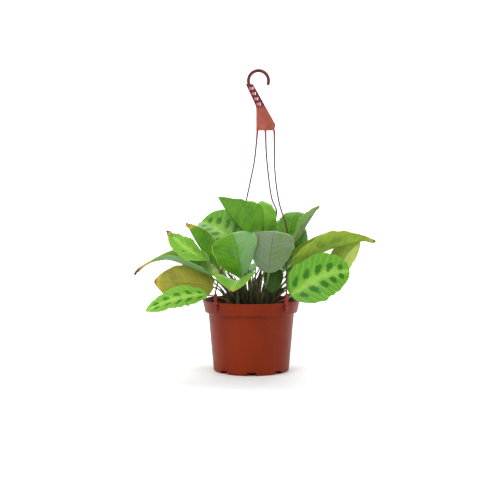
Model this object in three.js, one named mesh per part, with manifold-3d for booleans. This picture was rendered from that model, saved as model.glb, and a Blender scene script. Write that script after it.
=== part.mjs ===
// A prayer plant in its moulded plastic nursery pot, with the pot's three-strand hanger.
// Millimetres. Origin: centre of the pot's base, on the surface it stands on. +Z up, +Y to the back.
import * as THREE from "three";
import { ParametricGeometry } from "three/addons/geometries/ParametricGeometry.js";
import { mergeGeometries, mergeVertices } from "three/addons/utils/BufferGeometryUtils.js";
import Module from "manifold-3d";

const wasm = await Module();
wasm.setup();

// ---- Pot -------------------------------------------------------------------------------------
const POT_HEIGHT = 110;
const POT_WALL = 1.5;
const BASE_RADIUS = 58.5; // outside, at the foot
const BAND_HEIGHT = 19; // the thicker-looking band under the rim
const RIM_RADIUS = 75.5; // outside, at the top
const BAND_FOOT_RADIUS = RIM_RADIUS - 4; // outside, at the band's lower edge
const BODY_TOP_RADIUS = RIM_RADIUS - 9; // outside, just under the rim band
const BAND_STEP = 1.2; // slope of the shoulder that joins the body to the band
const LAND_OUTER_RADIUS = 56; // the ring that the pot stands on
const LAND_INNER_RADIUS = 46;
const PAD_RADIUS = 14; // the flat pad in the middle of the base
const RECESS_DEPTH = 1.8; // between the pad and the ring
const NOTCH_COUNT = 8; // drain openings round the foot
const NOTCH_WIDTH = 13;
const NOTCH_HEIGHT = 4.5;
const NOTCH_REACH = 10; // how far each opening runs in from the outside
const POT_SEGMENTS = 48;

// ---- Soil and stalks -------------------------------------------------------------------------
const FIT_GAP = 0.3; // between pieces that touch
const SOIL_DEPTH = 14; // from the rim down to the soil
const SOIL_CROWN = 1.5; // how much higher the soil is in the middle
const ROOT_DEPTH = 9; // how far a stalk goes into the soil
const STALK_RADIUS = 1.4;
const STALK_SIDES = 6;
const STALK_STEPS = 7;

// ---- Leaves ----------------------------------------------------------------------------------
const LEAF_THICKNESS = 0.8;
const LEAF_ROWS = 10; // along the blade
const LEAF_COLUMNS = 6; // across the blade
const NARROWEST_HALF = 1.6; // half the blade's width where it meets its stalk and at its tip

// ---- Hanger ----------------------------------------------------------------------------------
const PLATE_THICKNESS = 2.4;
const PLATE_CENTRE_X = 22.5; // the hanger leans to the right of the pot's axis
const PLATE_Y = 4;
const PLATE_BOTTOM = 260; // above the rim
const PLATE_WIDTH = 30;
const PLATE_HEIGHT = 71;
const PLATE_CHAMFER = 9; // the right lower corner's slope ends at this height
const PLATE_NECK = 42; // where the shank begins on the left
const PLATE_NECK_LEFT = -17.6; // the shank's left edge there, from the plate's middle
const SHANK_LEAN = 25; // degrees, towards the pot's axis
const SHANK_WIDTH = 11.2;
const WINDOW_COUNT = 4;
const WINDOW_WIDTH = 6;
const WINDOW_HEIGHT = 4.4;
const WINDOW_PITCH = 8;
const WINDOW_TOP_EDGE = 4.2; // from the top window to the shank's top
const HOOK_RADIUS = 13; // inside the hook
const HOOK_WIDTH = 5; // of the bar, seen from the front
const HOOK_END = -25; // degrees, where the hook stops
const HOOK_SINK = 1.5; // how deep the hook reaches into the shank
const STRAND_RADIUS = 1.2;
const STRAND_SIDES = 8;
const STRAND_STEPS = 22;
const CLIP_WIDTH = 7;
const CLIP_HEIGHT = 31;
const CLIP_BELOW_RIM = 13; // how far a clip reaches down the outside of the band
const CLIP_THICKNESS = 2;
const CLIP_TEETH = 4;
const CLIP_TOOTH_DEPTH = 1.3;
const CLIP_INSIDE = 7; // how far a clip reaches down the inside of the rim
const CLIP_BAR = 2; // the bar across the top of the rim

// ---- Colours and finishes --------------------------------------------------------------------
const plastic = (color) => new THREE.MeshStandardMaterial({ color, roughness: 0.38, metalness: 0 });
const living = (color) => new THREE.MeshStandardMaterial({ color, roughness: 0.5, metalness: 0 });
const potPlastic = plastic(0x802d0e);
const hangerPlastic = plastic(0x6a3a36);
const soilMaterial = new THREE.MeshStandardMaterial({ color: 0x2a2018, roughness: 1, metalness: 0 });
const stalkGreen = living(0x5c5a2c);
const LEAF_GREEN = { fresh: 0x74b52f, shade: 0x4d8a24, silver: 0x6d8355, yellowing: 0x93a532, olive: 0x828933 };

// ---- Turning geometry into solids and back ----------------------------------------------------
function solidOf(geometry) {
  const bare = geometry.clone();
  bare.deleteAttribute("normal");
  bare.deleteAttribute("uv");
  const merged = mergeVertices(bare, 1e-3);
  const vertProperties = new Float32Array(merged.attributes.position.array);
  const triVerts = new Uint32Array(merged.index.array);
  return new wasm.Manifold(new wasm.Mesh({ numProp: 3, vertProperties, triVerts }));
}

function geometryOf(solid) {
  const mesh = solid.getMesh();
  const geometry = new THREE.BufferGeometry();
  geometry.setAttribute("position", new THREE.BufferAttribute(new Float32Array(mesh.vertProperties), 3));
  geometry.setIndex(new THREE.BufferAttribute(new Uint32Array(mesh.triVerts), 1));
  geometry.computeVertexNormals();
  return geometry;
}

// A profile of [radius, height] points turned about the Z axis.
function turned(profile) {
  const points = profile.map(([radius, height]) => new THREE.Vector2(radius, height)).reverse();
  return new THREE.LatheGeometry(points, POT_SEGMENTS).rotateX(Math.PI / 2);
}

const lerp = (from, to, share) => from + (to - from) * share;

// ---- The pot ----------------------------------------------------------------------------------
const BAND_FOOT = POT_HEIGHT - BAND_HEIGHT;
const FLOOR_TOP = RECESS_DEPTH + POT_WALL;

function makePot() {
  const profile = [
    [0, FLOOR_TOP],
    [BASE_RADIUS - POT_WALL, FLOOR_TOP],
    [BODY_TOP_RADIUS - POT_WALL, BAND_FOOT],
    [BAND_FOOT_RADIUS - POT_WALL, BAND_FOOT + BAND_STEP],
    [RIM_RADIUS - POT_WALL, POT_HEIGHT],
    [RIM_RADIUS, POT_HEIGHT],
    [BAND_FOOT_RADIUS, BAND_FOOT],
    [BODY_TOP_RADIUS, BAND_FOOT - BAND_STEP],
    [BASE_RADIUS, POT_WALL],
    [LAND_OUTER_RADIUS, 0],
    [LAND_INNER_RADIUS, 0],
    [LAND_INNER_RADIUS - RECESS_DEPTH, RECESS_DEPTH],
    [PAD_RADIUS + RECESS_DEPTH, RECESS_DEPTH],
    [PAD_RADIUS, 0],
    [0, 0],
  ];
  let pot = solidOf(turned(profile));
  const margin = 4; // how far the cutter stands past the outside of the pot
  const cutter = new THREE.BoxGeometry(NOTCH_WIDTH, NOTCH_REACH + margin, NOTCH_HEIGHT * 2);
  cutter.translate(0, BASE_RADIUS + margin - (NOTCH_REACH + margin) / 2, 0);
  for (let i = 0; i < NOTCH_COUNT; i++) {
    pot = pot.subtract(solidOf(cutter.clone().rotateZ((i * 2 * Math.PI) / NOTCH_COUNT)));
  }
  const mesh = new THREE.Mesh(geometryOf(pot), potPlastic);
  mesh.name = "pot";
  return mesh;
}

// ---- The leaves, one row each -----------------------------------------------------------------
// root: where the stalk leaves the soil, [x, y].
// spine: control points of the midrib's Bezier curve, base to tip, [x, y, height above the rim].
// face: which way the upper side looks at the base and at the tip.
// fold: degrees that each half is raised towards the face, [left at base, left at tip], [right ...].
// roll: degrees that each half curls in, given the same way. Both change with the square of the way along.
// shape: the outline's two exponents, where it is widest and how blunt it is.
// wave: height of the ripple along the edges, and ripples along the blade.
const BLUNT = [0.88, 0.62];
const LEAVES = [
  {
    name: "front_left", root: [-10, -28], tint: "fresh", width: 74, shape: BLUNT, wave: [1.5, 2],
    spine: [[-15, -51, 38], [-19, -75, 76], [-27, -88, 114], [-32, -56, 102]],
    face: [[0, 1, 0], [0.2, 0.35, -1]], fold: [[35, 0], [5, 5]], roll: [[5, 5], [5, 5]],
  },
  {
    name: "front_middle", root: [12, -30], tint: "silver", width: 68, shape: [0.9, 0.45], wave: [1.5, 2],
    spine: [[26, -39, 43], [29, -54, 86], [34, -71, 116], [38, -32, 104]],
    face: [[0, 1, 0], [0, 0.35, -1]], fold: [[8, 5], [5, 5]], roll: [[12, 8], [10, 8]],
  },
  {
    name: "top_left", root: [-4, 2], tint: "fresh", width: 96, shape: [0.66, 0.8], wave: [1.5, 2],
    spine: [[8, -6, 90], [-18, -4, 106], [-38, 2, 134], [-52, 14, 158]],
    face: [[0, 1, 0], [0, 1, 0]], fold: [[0, 5], [142, 130]], roll: [[8, 8], [5, 5]],
  },
  {
    name: "top_middle", root: [8, 4], tint: "fresh", width: 48, shape: BLUNT, wave: [1.5, 2],
    spine: [[20, 18, 84], [20, 16, 116], [20, 22, 158], [16, 50, 152]],
    face: [[0, 1, 0], [0, 0.3, -1]], fold: [[25, 15], [25, 15]], roll: [[15, 20], [15, 20]],
  },
  {
    name: "back_left", root: [-16, 6], tint: "shade", width: 86, shape: BLUNT, wave: [1.5, 2],
    spine: [[-18, 2, 80], [-44, 20, 112], [-80, 52, 118]],
    face: [[-0.1, -0.7, 0.7], [-0.1, -0.7, 0.7]], fold: [[10, 15], [10, 15]], roll: [[10, 10], [10, 10]],
  },
  {
    name: "left_high", root: [-20, -2], tint: "fresh", width: 56, shape: BLUNT, wave: [1.5, 2],
    spine: [[-50, -22, 49], [-77, -28, 73], [-98, -21, 117]],
    face: [[0.5, 0.8, 0], [0.5, 0.8, 0]], fold: [[10, 10], [120, 118]], roll: [[10, 10], [10, 10]],
  },
  {
    name: "left_long", root: [-27, -16], tint: "shade", width: 64, shape: [0.5, 2.2], wave: [1, 2],
    spine: [[-57, -34, 39], [-100, -30, 48], [-132, -26, 86], [-176, -22, 43]],
    face: [[0, 0, 1], [-0.4, 0, 0.9]], fold: [[14, 35], [75, 45]], roll: [[10, 60], [10, 60]],
  },
  {
    name: "left_thin", root: [-34, -8], tint: "yellowing", width: 44, shape: [1.1, 0.9], wave: [1, 2],
    spine: [[-66, -41, 62], [-98, -48, 80], [-125, -44, 105]],
    face: [[0.3, 0, 0.9], [0.3, 0, 0.9]], fold: [[-48, -58], [35, 30]], roll: [[10, 10], [10, 10]],
  },
  {
    name: "left_low", root: [-34, -22], tint: "olive", width: 64, shape: BLUNT, wave: [1.2, 2],
    spine: [[-57, -32, 21], [-100, -38, 30], [-147, -34, 30]],
    face: [[0, 1, -0.2], [0, 1, -0.2]], fold: [[5, 20], [5, 10]], roll: [[10, 15], [10, 10]],
  },
  {
    name: "left_droop", root: [-26, -31], tint: "fresh", width: 46, shape: BLUNT, wave: [1.5, 2],
    spine: [[-66, -52, 11], [-106, -60, 14], [-157, -60, -12]],
    face: [[0, -0.6, 0.8], [0, -0.6, 0.8]], fold: [[5, 5], [5, 5]], roll: [[5, 5], [5, 5]],
  },
  {
    name: "front_low", root: [-20, -38], tint: "fresh", width: 68, shape: BLUNT, wave: [1, 2],
    spine: [[-23, -51, 32], [-24, -70, 35], [-27, -92, 20]],
    face: [[0, -0.2, 1], [0, -0.4, 1]], fold: [[25, 20], [15, 10]], roll: [[10, 10], [20, 20]],
  },
  {
    name: "inner_low", root: [22, -14], tint: "shade", width: 32, shape: BLUNT, wave: [1, 2],
    spine: [[35, -20, 54], [34, -29, 38], [31, -32, 12]],
    face: [[0, 1, 0], [0, 1, 0]], fold: [[10, 10], [10, 10]], roll: [[10, 10], [10, 10]],
  },
  {
    name: "right_low", root: [30, -24], tint: "fresh", width: 72, shape: [0.85, 0.5], wave: [1.2, 2],
    spine: [[59, -48, 10], [104, -52, 48], [148, -42, 46]],
    face: [[-0.2, -1, 0.3], [0, -1, 0.3]], fold: [[5, 5], [5, 5]], roll: [[5, 5], [5, 5]],
  },
  {
    name: "right_long", root: [29, -12], tint: "yellowing", width: 62, shape: [0.7, 0.85], wave: [1.5, 2],
    spine: [[62, -23, 46], [98, -25, 74], [150, -20, 94], [188, -12, 90]],
    face: [[-0.3, 0, 0.95], [-0.3, 0, 0.95]], fold: [[55, 55], [50, 45]], roll: [[10, 10], [5, 10]],
  },
  {
    name: "right_small", root: [36, -3], tint: "yellowing", width: 50, shape: BLUNT, wave: [1, 2],
    spine: [[132, -6, 36], [142, -8, 72], [168, -6, 88]],
    face: [[0, 1, 0], [0, 1, 0]], fold: [[40, 40], [25, 25]], roll: [[10, 10], [10, 10]],
  },
  {
    name: "right_mid", root: [30, 4], tint: "shade", width: 38, shape: BLUNT, wave: [1, 2],
    spine: [[73, 10, 60], [79, 6, 86], [82, 11, 112]],
    face: [[-0.6, 0.7, 0], [-0.6, 0.7, 0]], fold: [[10, 10], [10, 10]], roll: [[10, 10], [10, 10]],
  },
  {
    name: "right_rolled", root: [24, -6], tint: "silver", width: 38, shape: BLUNT, wave: [1, 2],
    spine: [[60, -20, 80], [80, -22, 108], [103, -9, 143]],
    face: [[-0.8, -0.1, 0.55], [-0.8, -0.1, 0.55]], fold: [[20, 60], [20, 20]], roll: [[10, 20], [15, 15]],
  },
  {
    name: "right_top", root: [18, 6], tint: "fresh", width: 44, shape: BLUNT, wave: [1, 2],
    spine: [[54, -1, 86], [60, -5, 112], [70, 4, 140], [76, 28, 134]],
    face: [[0, 1, 0], [0, 0.3, -1]], fold: [[5, 5], [5, 5]], roll: [[10, 10], [10, 10]],
  },
  {
    name: "rear_middle", root: [0, 18], tint: "fresh", width: 64, shape: BLUNT, wave: [1.2, 2],
    spine: [[-8, 28, 75], [-10, 42, 105], [-14, 66, 132], [-14, 92, 122]],
    face: [[0, -0.7, 0.7], [0, -0.5, 0.9]], fold: [[25, 15], [25, 15]], roll: [[10, 10], [10, 10]],
  },
  {
    name: "rear_right", root: [14, 24], tint: "silver", width: 62, shape: BLUNT, wave: [1.2, 2],
    spine: [[50, 34, 68], [60, 50, 96], [72, 74, 122], [84, 96, 112]],
    face: [[-0.4, -0.6, 0.7], [-0.3, -0.4, 0.9]], fold: [[25, 15], [25, 15]], roll: [[10, 10], [10, 10]],
  },
  {
    name: "rear_left", root: [-12, 20], tint: "fresh", width: 66, shape: BLUNT, wave: [1.2, 2],
    spine: [[-30, 40, 70], [-44, 58, 96], [-64, 84, 114], [-80, 106, 102]],
    face: [[0.4, -0.6, 0.7], [0.3, -0.4, 0.9]], fold: [[25, 15], [25, 15]], roll: [[10, 10], [10, 10]],
  },
  {
    name: "right_rear", root: [34, 14], tint: "fresh", width: 56, shape: BLUNT, wave: [1.2, 2],
    spine: [[56, 22, 26], [84, 38, 48], [112, 54, 48], [136, 64, 28]],
    face: [[-0.3, -0.3, 0.9], [0.2, 0.1, 1]], fold: [[15, 10], [15, 10]], roll: [[10, 10], [10, 10]],
  },
  {
    name: "rear_low_right", root: [22, 30], tint: "shade", width: 62, shape: BLUNT, wave: [1.2, 2],
    spine: [[34, 50, 28], [48, 74, 50], [58, 100, 50], [64, 124, 36]],
    face: [[-0.1, -0.4, 0.9], [0.1, 0.2, 1]], fold: [[15, 10], [15, 10]], roll: [[10, 10], [10, 10]],
  },
  {
    name: "rear_low_middle", root: [2, 36], tint: "fresh", width: 60, shape: BLUNT, wave: [1.2, 2],
    spine: [[-12, 52, 24], [-16, 80, 46], [-18, 108, 48], [-20, 130, 32]],
    face: [[0, -0.4, 0.9], [0, 0.2, 1]], fold: [[15, 10], [15, 10]], roll: [[10, 10], [10, 10]],
  },
  {
    name: "rear_low_left", root: [-20, 28], tint: "yellowing", width: 62, shape: BLUNT, wave: [1.2, 2],
    spine: [[-46, 44, 26], [-70, 64, 48], [-94, 86, 48], [-114, 102, 28]],
    face: [[0.2, -0.3, 0.9], [-0.1, 0.2, 1]], fold: [[15, 10], [15, 10]], roll: [[10, 10], [10, 10]],
  },
  {
    name: "left_rear", root: [-34, 12], tint: "fresh", width: 50, shape: BLUNT, wave: [1.2, 2],
    spine: [[-58, 10, 24], [-90, 18, 43], [-116, 24, 43], [-138, 28, 23]],
    face: [[0.3, -0.2, 0.9], [-0.2, 0.1, 1]], fold: [[15, 10], [15, 10]], roll: [[10, 10], [10, 10]],
  },
  {
    name: "right_inner", root: [27, 13], tint: "shade", width: 50, shape: BLUNT, wave: [1.2, 2],
    spine: [[51, 25, 44], [72, 43, 62], [90, 59, 74], [101, 74, 66]],
    face: [[-0.5, -0.4, 0.8], [-0.4, -0.3, 0.9]], fold: [[20, 15], [20, 15]], roll: [[10, 10], [10, 10]],
  },
];

const SOIL_TOP = POT_HEIGHT - SOIL_DEPTH;
const onRim = ([x, y, z]) => new THREE.Vector3(x, y, POT_HEIGHT + z);

function spineOf(leaf) {
  const points = leaf.spine.map(onRim);
  return points.length === 4 ? new THREE.CubicBezierCurve3(...points) : new THREE.QuadraticBezierCurve3(...points);
}

// The blade's frame at a share s of its length: centre, face (upper side) and right (from the midrib out).
function frameAt(leaf, curve, s) {
  const along = curve.getTangent(s);
  const face = new THREE.Vector3(...leaf.face[0]).lerp(new THREE.Vector3(...leaf.face[1]), s);
  face.addScaledVector(along, -face.dot(along)).normalize();
  return { centre: curve.getPoint(s), face, right: new THREE.Vector3().crossVectors(along, face) };
}

const outline = (leaf, s) => Math.sin(Math.PI * s ** leaf.shape[0]) ** leaf.shape[1];

// A point of the blade's middle surface, and the surface's normal there. across runs from -1 to 1.
// Each half leaves the midrib at its fold angle and bends on a circle by its roll angle.
function bladePoint(leaf, curve, s, across) {
  const { centre, face, right } = frameAt(leaf, curve, s);
  const half = Math.max((outline(leaf, s) * leaf.width) / 2, NARROWEST_HALF);
  const side = across < 0 ? 0 : 1;
  const sign = across < 0 ? -1 : 1;
  const angle = ([base, tip]) => THREE.MathUtils.degToRad(lerp(base, tip, s * s));
  const fold = angle(leaf.fold[side]);
  const bend = Math.max(Math.abs(angle(leaf.roll[side])), 1e-4) / half;
  const out = Math.abs(across) * half;
  const sideways = (Math.sin(fold + bend * out) - Math.sin(fold)) / bend;
  const raised = (Math.cos(fold) - Math.cos(fold + bend * out)) / bend;
  const [height, count] = leaf.wave;
  const ripple = height * across ** 2 * Math.sin(2 * Math.PI * (count * s + 0.25 * side)) * outline(leaf, s);
  const point = centre.addScaledVector(right, sign * sideways).addScaledVector(face, raised + ripple);
  const lean = across === 0 ? (angle(leaf.fold[1]) - angle(leaf.fold[0])) / 2 : sign * (fold + bend * out);
  const normal = face.multiplyScalar(Math.cos(lean)).addScaledVector(right, -Math.sin(lean));
  return { point, normal };
}

// A closed blade: an upper and a lower skin that stand off the middle surface and meet all round the margin.
function makeBlade(leaf) {
  const curve = spineOf(leaf);
  const skin = (lift) => {
    const surface = (u, v, target) => {
      const { point, normal } = bladePoint(leaf, curve, v, 2 * u - 1);
      const margin = u === 0 || u === 1 || v === 0 || v === 1;
      target.copy(point).addScaledVector(normal, margin ? 0 : lift);
    };
    return new ParametricGeometry(surface, LEAF_COLUMNS, LEAF_ROWS);
  };
  const upper = skin(LEAF_THICKNESS / 2);
  const lower = skin(-LEAF_THICKNESS / 2);
  lower.setIndex([...upper.index.array].reverse());
  const geometry = geometryOf(solidOf(mergeGeometries([upper, lower])));
  const blade = new THREE.Mesh(geometry, living(LEAF_GREEN[leaf.tint]));
  blade.name = "leaf_" + leaf.name;
  return blade;
}

// A rod of a stalk's path: straight up out of the soil, then over and into the back of its blade.
function stalkRod(leaf, radius, depth) {
  const spine = spineOf(leaf);
  const root = new THREE.Vector3(...leaf.root, SOIL_TOP - depth);
  const along = spine.getTangent(0);
  const end = spine.getPoint(0).addScaledVector(along, -FIT_GAP);
  const reach = end.distanceTo(root);
  const lift = root.clone().add(new THREE.Vector3(0, 0, 0.45 * reach));
  const ease = end.clone().addScaledVector(along, -0.35 * reach);
  const path = new THREE.CubicBezierCurve3(root, lift, ease, end);
  const section = new THREE.Shape(new THREE.EllipseCurve(0, 0, radius, radius).getPoints(STALK_SIDES));
  return new THREE.ExtrudeGeometry(section, { extrudePath: path, steps: STALK_STEPS, bevelEnabled: false });
}

function makeStalk(leaf) {
  const stalk = new THREE.Mesh(stalkRod(leaf, STALK_RADIUS, ROOT_DEPTH), stalkGreen);
  stalk.name = "stalk_" + leaf.name;
  return stalk;
}

// The soil fills the pot up to SOIL_DEPTH under the rim, with a hole for each stalk.
function makeSoil() {
  const clear = POT_WALL + FIT_GAP;
  const bandShare = (SOIL_TOP - BAND_FOOT) / BAND_HEIGHT;
  const profile = [
    [0, SOIL_TOP + SOIL_CROWN],
    [lerp(BAND_FOOT_RADIUS, RIM_RADIUS, bandShare) - clear, SOIL_TOP],
    [BAND_FOOT_RADIUS - clear, BAND_FOOT + BAND_STEP + 2 * FIT_GAP],
    [BODY_TOP_RADIUS - clear, BAND_FOOT + 2 * FIT_GAP],
    [BASE_RADIUS - clear, FLOOR_TOP + FIT_GAP],
    [0, FLOOR_TOP + FIT_GAP],
  ];
  let soil = solidOf(turned(profile));
  for (const leaf of LEAVES) {
    soil = soil.subtract(solidOf(stalkRod(leaf, STALK_RADIUS + 2 * FIT_GAP, ROOT_DEPTH + FIT_GAP)));
  }
  const mesh = new THREE.Mesh(geometryOf(soil), soilMaterial);
  mesh.name = "potting_soil";
  return mesh;
}

// ---- The hanger -------------------------------------------------------------------------------
// A flat plate that narrows to a slanting shank with small windows, and a plain hook on top.
function makeHook() {
  const half = PLATE_WIDTH / 2;
  const slant = Math.tan(THREE.MathUtils.degToRad(SHANK_LEAN));
  const edge = (height) => PLATE_NECK_LEFT - slant * (height - PLATE_NECK); // the shank's left edge
  const plate = new THREE.Shape();
  plate.moveTo(-half, 0);
  plate.lineTo(half - PLATE_CHAMFER / 4, 0);
  plate.lineTo(half, PLATE_CHAMFER);
  plate.lineTo(edge(PLATE_HEIGHT) + SHANK_WIDTH, PLATE_HEIGHT);
  plate.lineTo(edge(PLATE_HEIGHT), PLATE_HEIGHT);
  plate.lineTo(edge(PLATE_NECK), PLATE_NECK);
  plate.quadraticCurveTo(-half, PLATE_NECK - 5, -half, PLATE_NECK - 11);
  plate.closePath();
  for (let i = 0; i < WINDOW_COUNT; i++) {
    const middle = PLATE_HEIGHT - WINDOW_TOP_EDGE - WINDOW_HEIGHT / 2 - i * WINDOW_PITCH;
    const centre = edge(middle) + SHANK_WIDTH / 2;
    const window = new THREE.Path();
    window.moveTo(centre - WINDOW_WIDTH / 2, middle - WINDOW_HEIGHT / 2);
    window.lineTo(centre + WINDOW_WIDTH / 2, middle - WINDOW_HEIGHT / 2);
    window.lineTo(centre + WINDOW_WIDTH / 2, middle + WINDOW_HEIGHT / 2);
    window.lineTo(centre - WINDOW_WIDTH / 2, middle + WINDOW_HEIGHT / 2);
    window.closePath();
    plate.holes.push(window);
  }
  const outer = HOOK_RADIUS + HOOK_WIDTH;
  const start = Math.PI + THREE.MathUtils.degToRad(SHANK_LEAN); // where the ring runs on in the shank's direction
  const middleRadius = HOOK_RADIUS + HOOK_WIDTH / 2;
  const hookX = edge(PLATE_HEIGHT) + SHANK_WIDTH / 2 - middleRadius * Math.cos(start);
  const hookZ = PLATE_HEIGHT - middleRadius * Math.sin(start) - HOOK_SINK;
  const hook = new THREE.Shape();
  hook.absarc(hookX, hookZ, outer, start, THREE.MathUtils.degToRad(HOOK_END), true);
  hook.absarc(hookX, hookZ, HOOK_RADIUS, THREE.MathUtils.degToRad(HOOK_END), start, false);
  hook.closePath();
  const options = { depth: PLATE_THICKNESS, bevelEnabled: false, curveSegments: 12 };
  const cut = (shape) => solidOf(new THREE.ExtrudeGeometry(shape, options));
  const geometry = geometryOf(cut(plate).add(cut(hook)));
  geometry.rotateX(Math.PI / 2);
  const mesh = new THREE.Mesh(geometry, hangerPlastic);
  mesh.position.set(PLATE_CENTRE_X, PLATE_Y + PLATE_THICKNESS / 2, POT_HEIGHT + PLATE_BOTTOM);
  mesh.name = "hanger_hook";
  return mesh;
}

// Each strand: the angle of its clip round the rim, where it leaves the plate (share of its half
// width), and the points it passes on the way down, [x, y, height above the rim], chosen by hand.
const STRANDS = [
  { name: "left", angle: 226, start: -0.86, points: [[5, 12, 215], [-3, 26, 175], [-8, 31, 148], [-9, 7, 104], [-20, -12, 84], [-44, -36, 48]] },
  { name: "back", angle: 90, start: -0.05, points: [[24, 6, 215], [31, 18, 160], [40, 38, 132], [29, 60, 98], [20, 80, 56]] },
  { name: "right", angle: 313, start: 0.86, points: [[36, -6, 200], [42, -26, 150], [54, -30, 108], [53, -34, 70], [53, -48, 34]] },
];

// A clip hangs over the rim: a ribbed tab outside, a bar across the top and a short tab inside.
function clipSolid() {
  const inner = RIM_RADIUS + FIT_GAP;
  const top = CLIP_HEIGHT - CLIP_BELOW_RIM;
  const pitch = CLIP_HEIGHT / CLIP_TEETH;
  const tab = new THREE.Shape();
  tab.moveTo(0, -CLIP_BELOW_RIM);
  for (let i = 0; i < CLIP_TEETH; i++) {
    const foot = -CLIP_BELOW_RIM + i * pitch;
    tab.lineTo(CLIP_WIDTH / 2 - CLIP_TOOTH_DEPTH, foot);
    tab.lineTo(CLIP_WIDTH / 2, foot + 0.8 * pitch);
  }
  tab.lineTo(STRAND_RADIUS, top);
  tab.lineTo(-STRAND_RADIUS, top);
  for (let i = CLIP_TEETH - 1; i >= 0; i--) {
    const foot = -CLIP_BELOW_RIM + i * pitch;
    tab.lineTo(-CLIP_WIDTH / 2, foot + 0.8 * pitch);
    tab.lineTo(CLIP_TOOTH_DEPTH - CLIP_WIDTH / 2, foot);
  }
  tab.closePath();
  const plate = new THREE.ExtrudeGeometry(tab, { depth: CLIP_THICKNESS, bevelEnabled: false });
  plate.rotateX(Math.PI / 2).rotateZ(Math.PI / 2).translate(inner, 0, POT_HEIGHT);
  const far = inner + CLIP_THICKNESS / 2;
  const wall = lerp(RIM_RADIUS, BAND_FOOT_RADIUS, CLIP_INSIDE / BAND_HEIGHT) * Math.cos(Math.PI / POT_SEGMENTS);
  const near = wall - POT_WALL - 2 * FIT_GAP - CLIP_THICKNESS;
  const barTop = POT_HEIGHT + FIT_GAP + CLIP_BAR;
  const bar = new THREE.BoxGeometry(far - near, CLIP_WIDTH - 2, CLIP_BAR);
  bar.translate((far + near) / 2, 0, barTop - CLIP_BAR / 2);
  const reach = barTop - POT_HEIGHT + CLIP_INSIDE;
  const inside = new THREE.BoxGeometry(CLIP_THICKNESS, CLIP_WIDTH - 2, reach);
  inside.translate(near + CLIP_THICKNESS / 2, 0, barTop - reach / 2);
  return solidOf(plate).add(solidOf(bar)).add(solidOf(inside));
}

function makeStrand({ name, angle, start, points }) {
  const turn = THREE.MathUtils.degToRad(angle);
  const clip = clipSolid().rotate([0, 0, angle]);
  const clipTop = POT_HEIGHT + CLIP_HEIGHT - CLIP_BELOW_RIM - 1;
  const clipRadius = RIM_RADIUS + FIT_GAP + CLIP_THICKNESS / 2;
  const foot = new THREE.Vector3(clipRadius * Math.cos(turn), clipRadius * Math.sin(turn), clipTop);
  const topX = PLATE_CENTRE_X + start * (PLATE_WIDTH / 2);
  const head = new THREE.Vector3(topX, PLATE_Y, POT_HEIGHT + PLATE_BOTTOM - 2 * FIT_GAP);
  const path = new THREE.CatmullRomCurve3([head, ...points.map(onRim), foot]);
  const section = new THREE.Shape(new THREE.EllipseCurve(0, 0, STRAND_RADIUS, STRAND_RADIUS).getPoints(STRAND_SIDES));
  const options = { extrudePath: path, steps: STRAND_STEPS, bevelEnabled: false };
  const strand = solidOf(new THREE.ExtrudeGeometry(section, options)).add(clip);
  const mesh = new THREE.Mesh(geometryOf(strand), hangerPlastic);
  mesh.name = "hanger_strand_" + name;
  return mesh;
}

// ---- The whole plant --------------------------------------------------------------------------
const plant = new THREE.Group();
plant.add(...LEAVES.map(makeBlade), ...LEAVES.map(makeStalk));

const hanger = new THREE.Group();
hanger.add(makeHook(), ...STRANDS.map(makeStrand));

const pottedPlant = new THREE.Group();
pottedPlant.add(makePot(), makeSoil(), plant, hanger);

export default pottedPlant;
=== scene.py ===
# A prayer plant in its moulded plastic nursery pot, with the pot's three-strand hanger.
import math
from math import comb

import bpy
import numpy as np
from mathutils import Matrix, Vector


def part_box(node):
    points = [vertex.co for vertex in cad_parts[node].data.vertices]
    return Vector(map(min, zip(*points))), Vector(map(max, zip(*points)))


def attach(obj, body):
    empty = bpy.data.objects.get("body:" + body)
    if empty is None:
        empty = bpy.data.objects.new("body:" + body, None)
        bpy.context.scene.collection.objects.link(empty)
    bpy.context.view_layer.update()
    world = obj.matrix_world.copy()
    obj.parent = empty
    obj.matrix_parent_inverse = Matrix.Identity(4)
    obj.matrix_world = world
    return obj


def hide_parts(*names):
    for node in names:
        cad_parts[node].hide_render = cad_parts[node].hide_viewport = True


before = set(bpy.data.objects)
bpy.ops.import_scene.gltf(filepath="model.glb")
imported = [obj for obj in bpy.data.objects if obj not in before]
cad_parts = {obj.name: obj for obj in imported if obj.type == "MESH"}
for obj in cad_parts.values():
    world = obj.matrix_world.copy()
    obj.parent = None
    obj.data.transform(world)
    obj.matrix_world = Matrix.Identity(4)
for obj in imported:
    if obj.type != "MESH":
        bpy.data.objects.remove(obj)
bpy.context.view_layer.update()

bl_info = {
    "name": "Potted Prayer Plant",
    "version": (1, 0, 0),
    "blender": (4, 5, 0),
    "location": "3D Viewport > Sidebar > Plant",
    "description": "Builds a prayer plant in a nursery pot with a clip-on hanger",
    "category": "Add Mesh",
}

MM = 0.001
POT_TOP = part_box("pot")[1].z  # height of the rim
RIM_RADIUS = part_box("pot")[1].x
SEED = 7


# ---- Numbers and curves -----------------------------------------------------------------------
def unit(vectors):
    """Each vector divided by its own length."""
    return vectors / np.linalg.norm(vectors, axis=-1, keepdims=True)


def bezier(points, t):
    """Bezier curve: the sum of the control points, each times its Bernstein polynomial at t."""
    n = len(points) - 1
    weights = [comb(n, k) * (1 - t) ** (n - k) * t**k for k in range(n + 1)]
    return np.stack(weights, axis=-1) @ np.asarray(points, float)


def bezier_slope(points, t):
    """Derivative of a Bezier curve: its degree times the Bezier curve of the control points'
    differences."""
    return bezier(np.diff(np.asarray(points, float), axis=0) * (len(points) - 1), t)


def smooth(x, low, high):
    """Smooth step: 0 below low, 1 above high, and 3x^2 - 2x^3 between them."""
    share = np.clip((x - low) / (high - low), 0, 1)
    return share * share * (3 - 2 * share)


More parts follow.
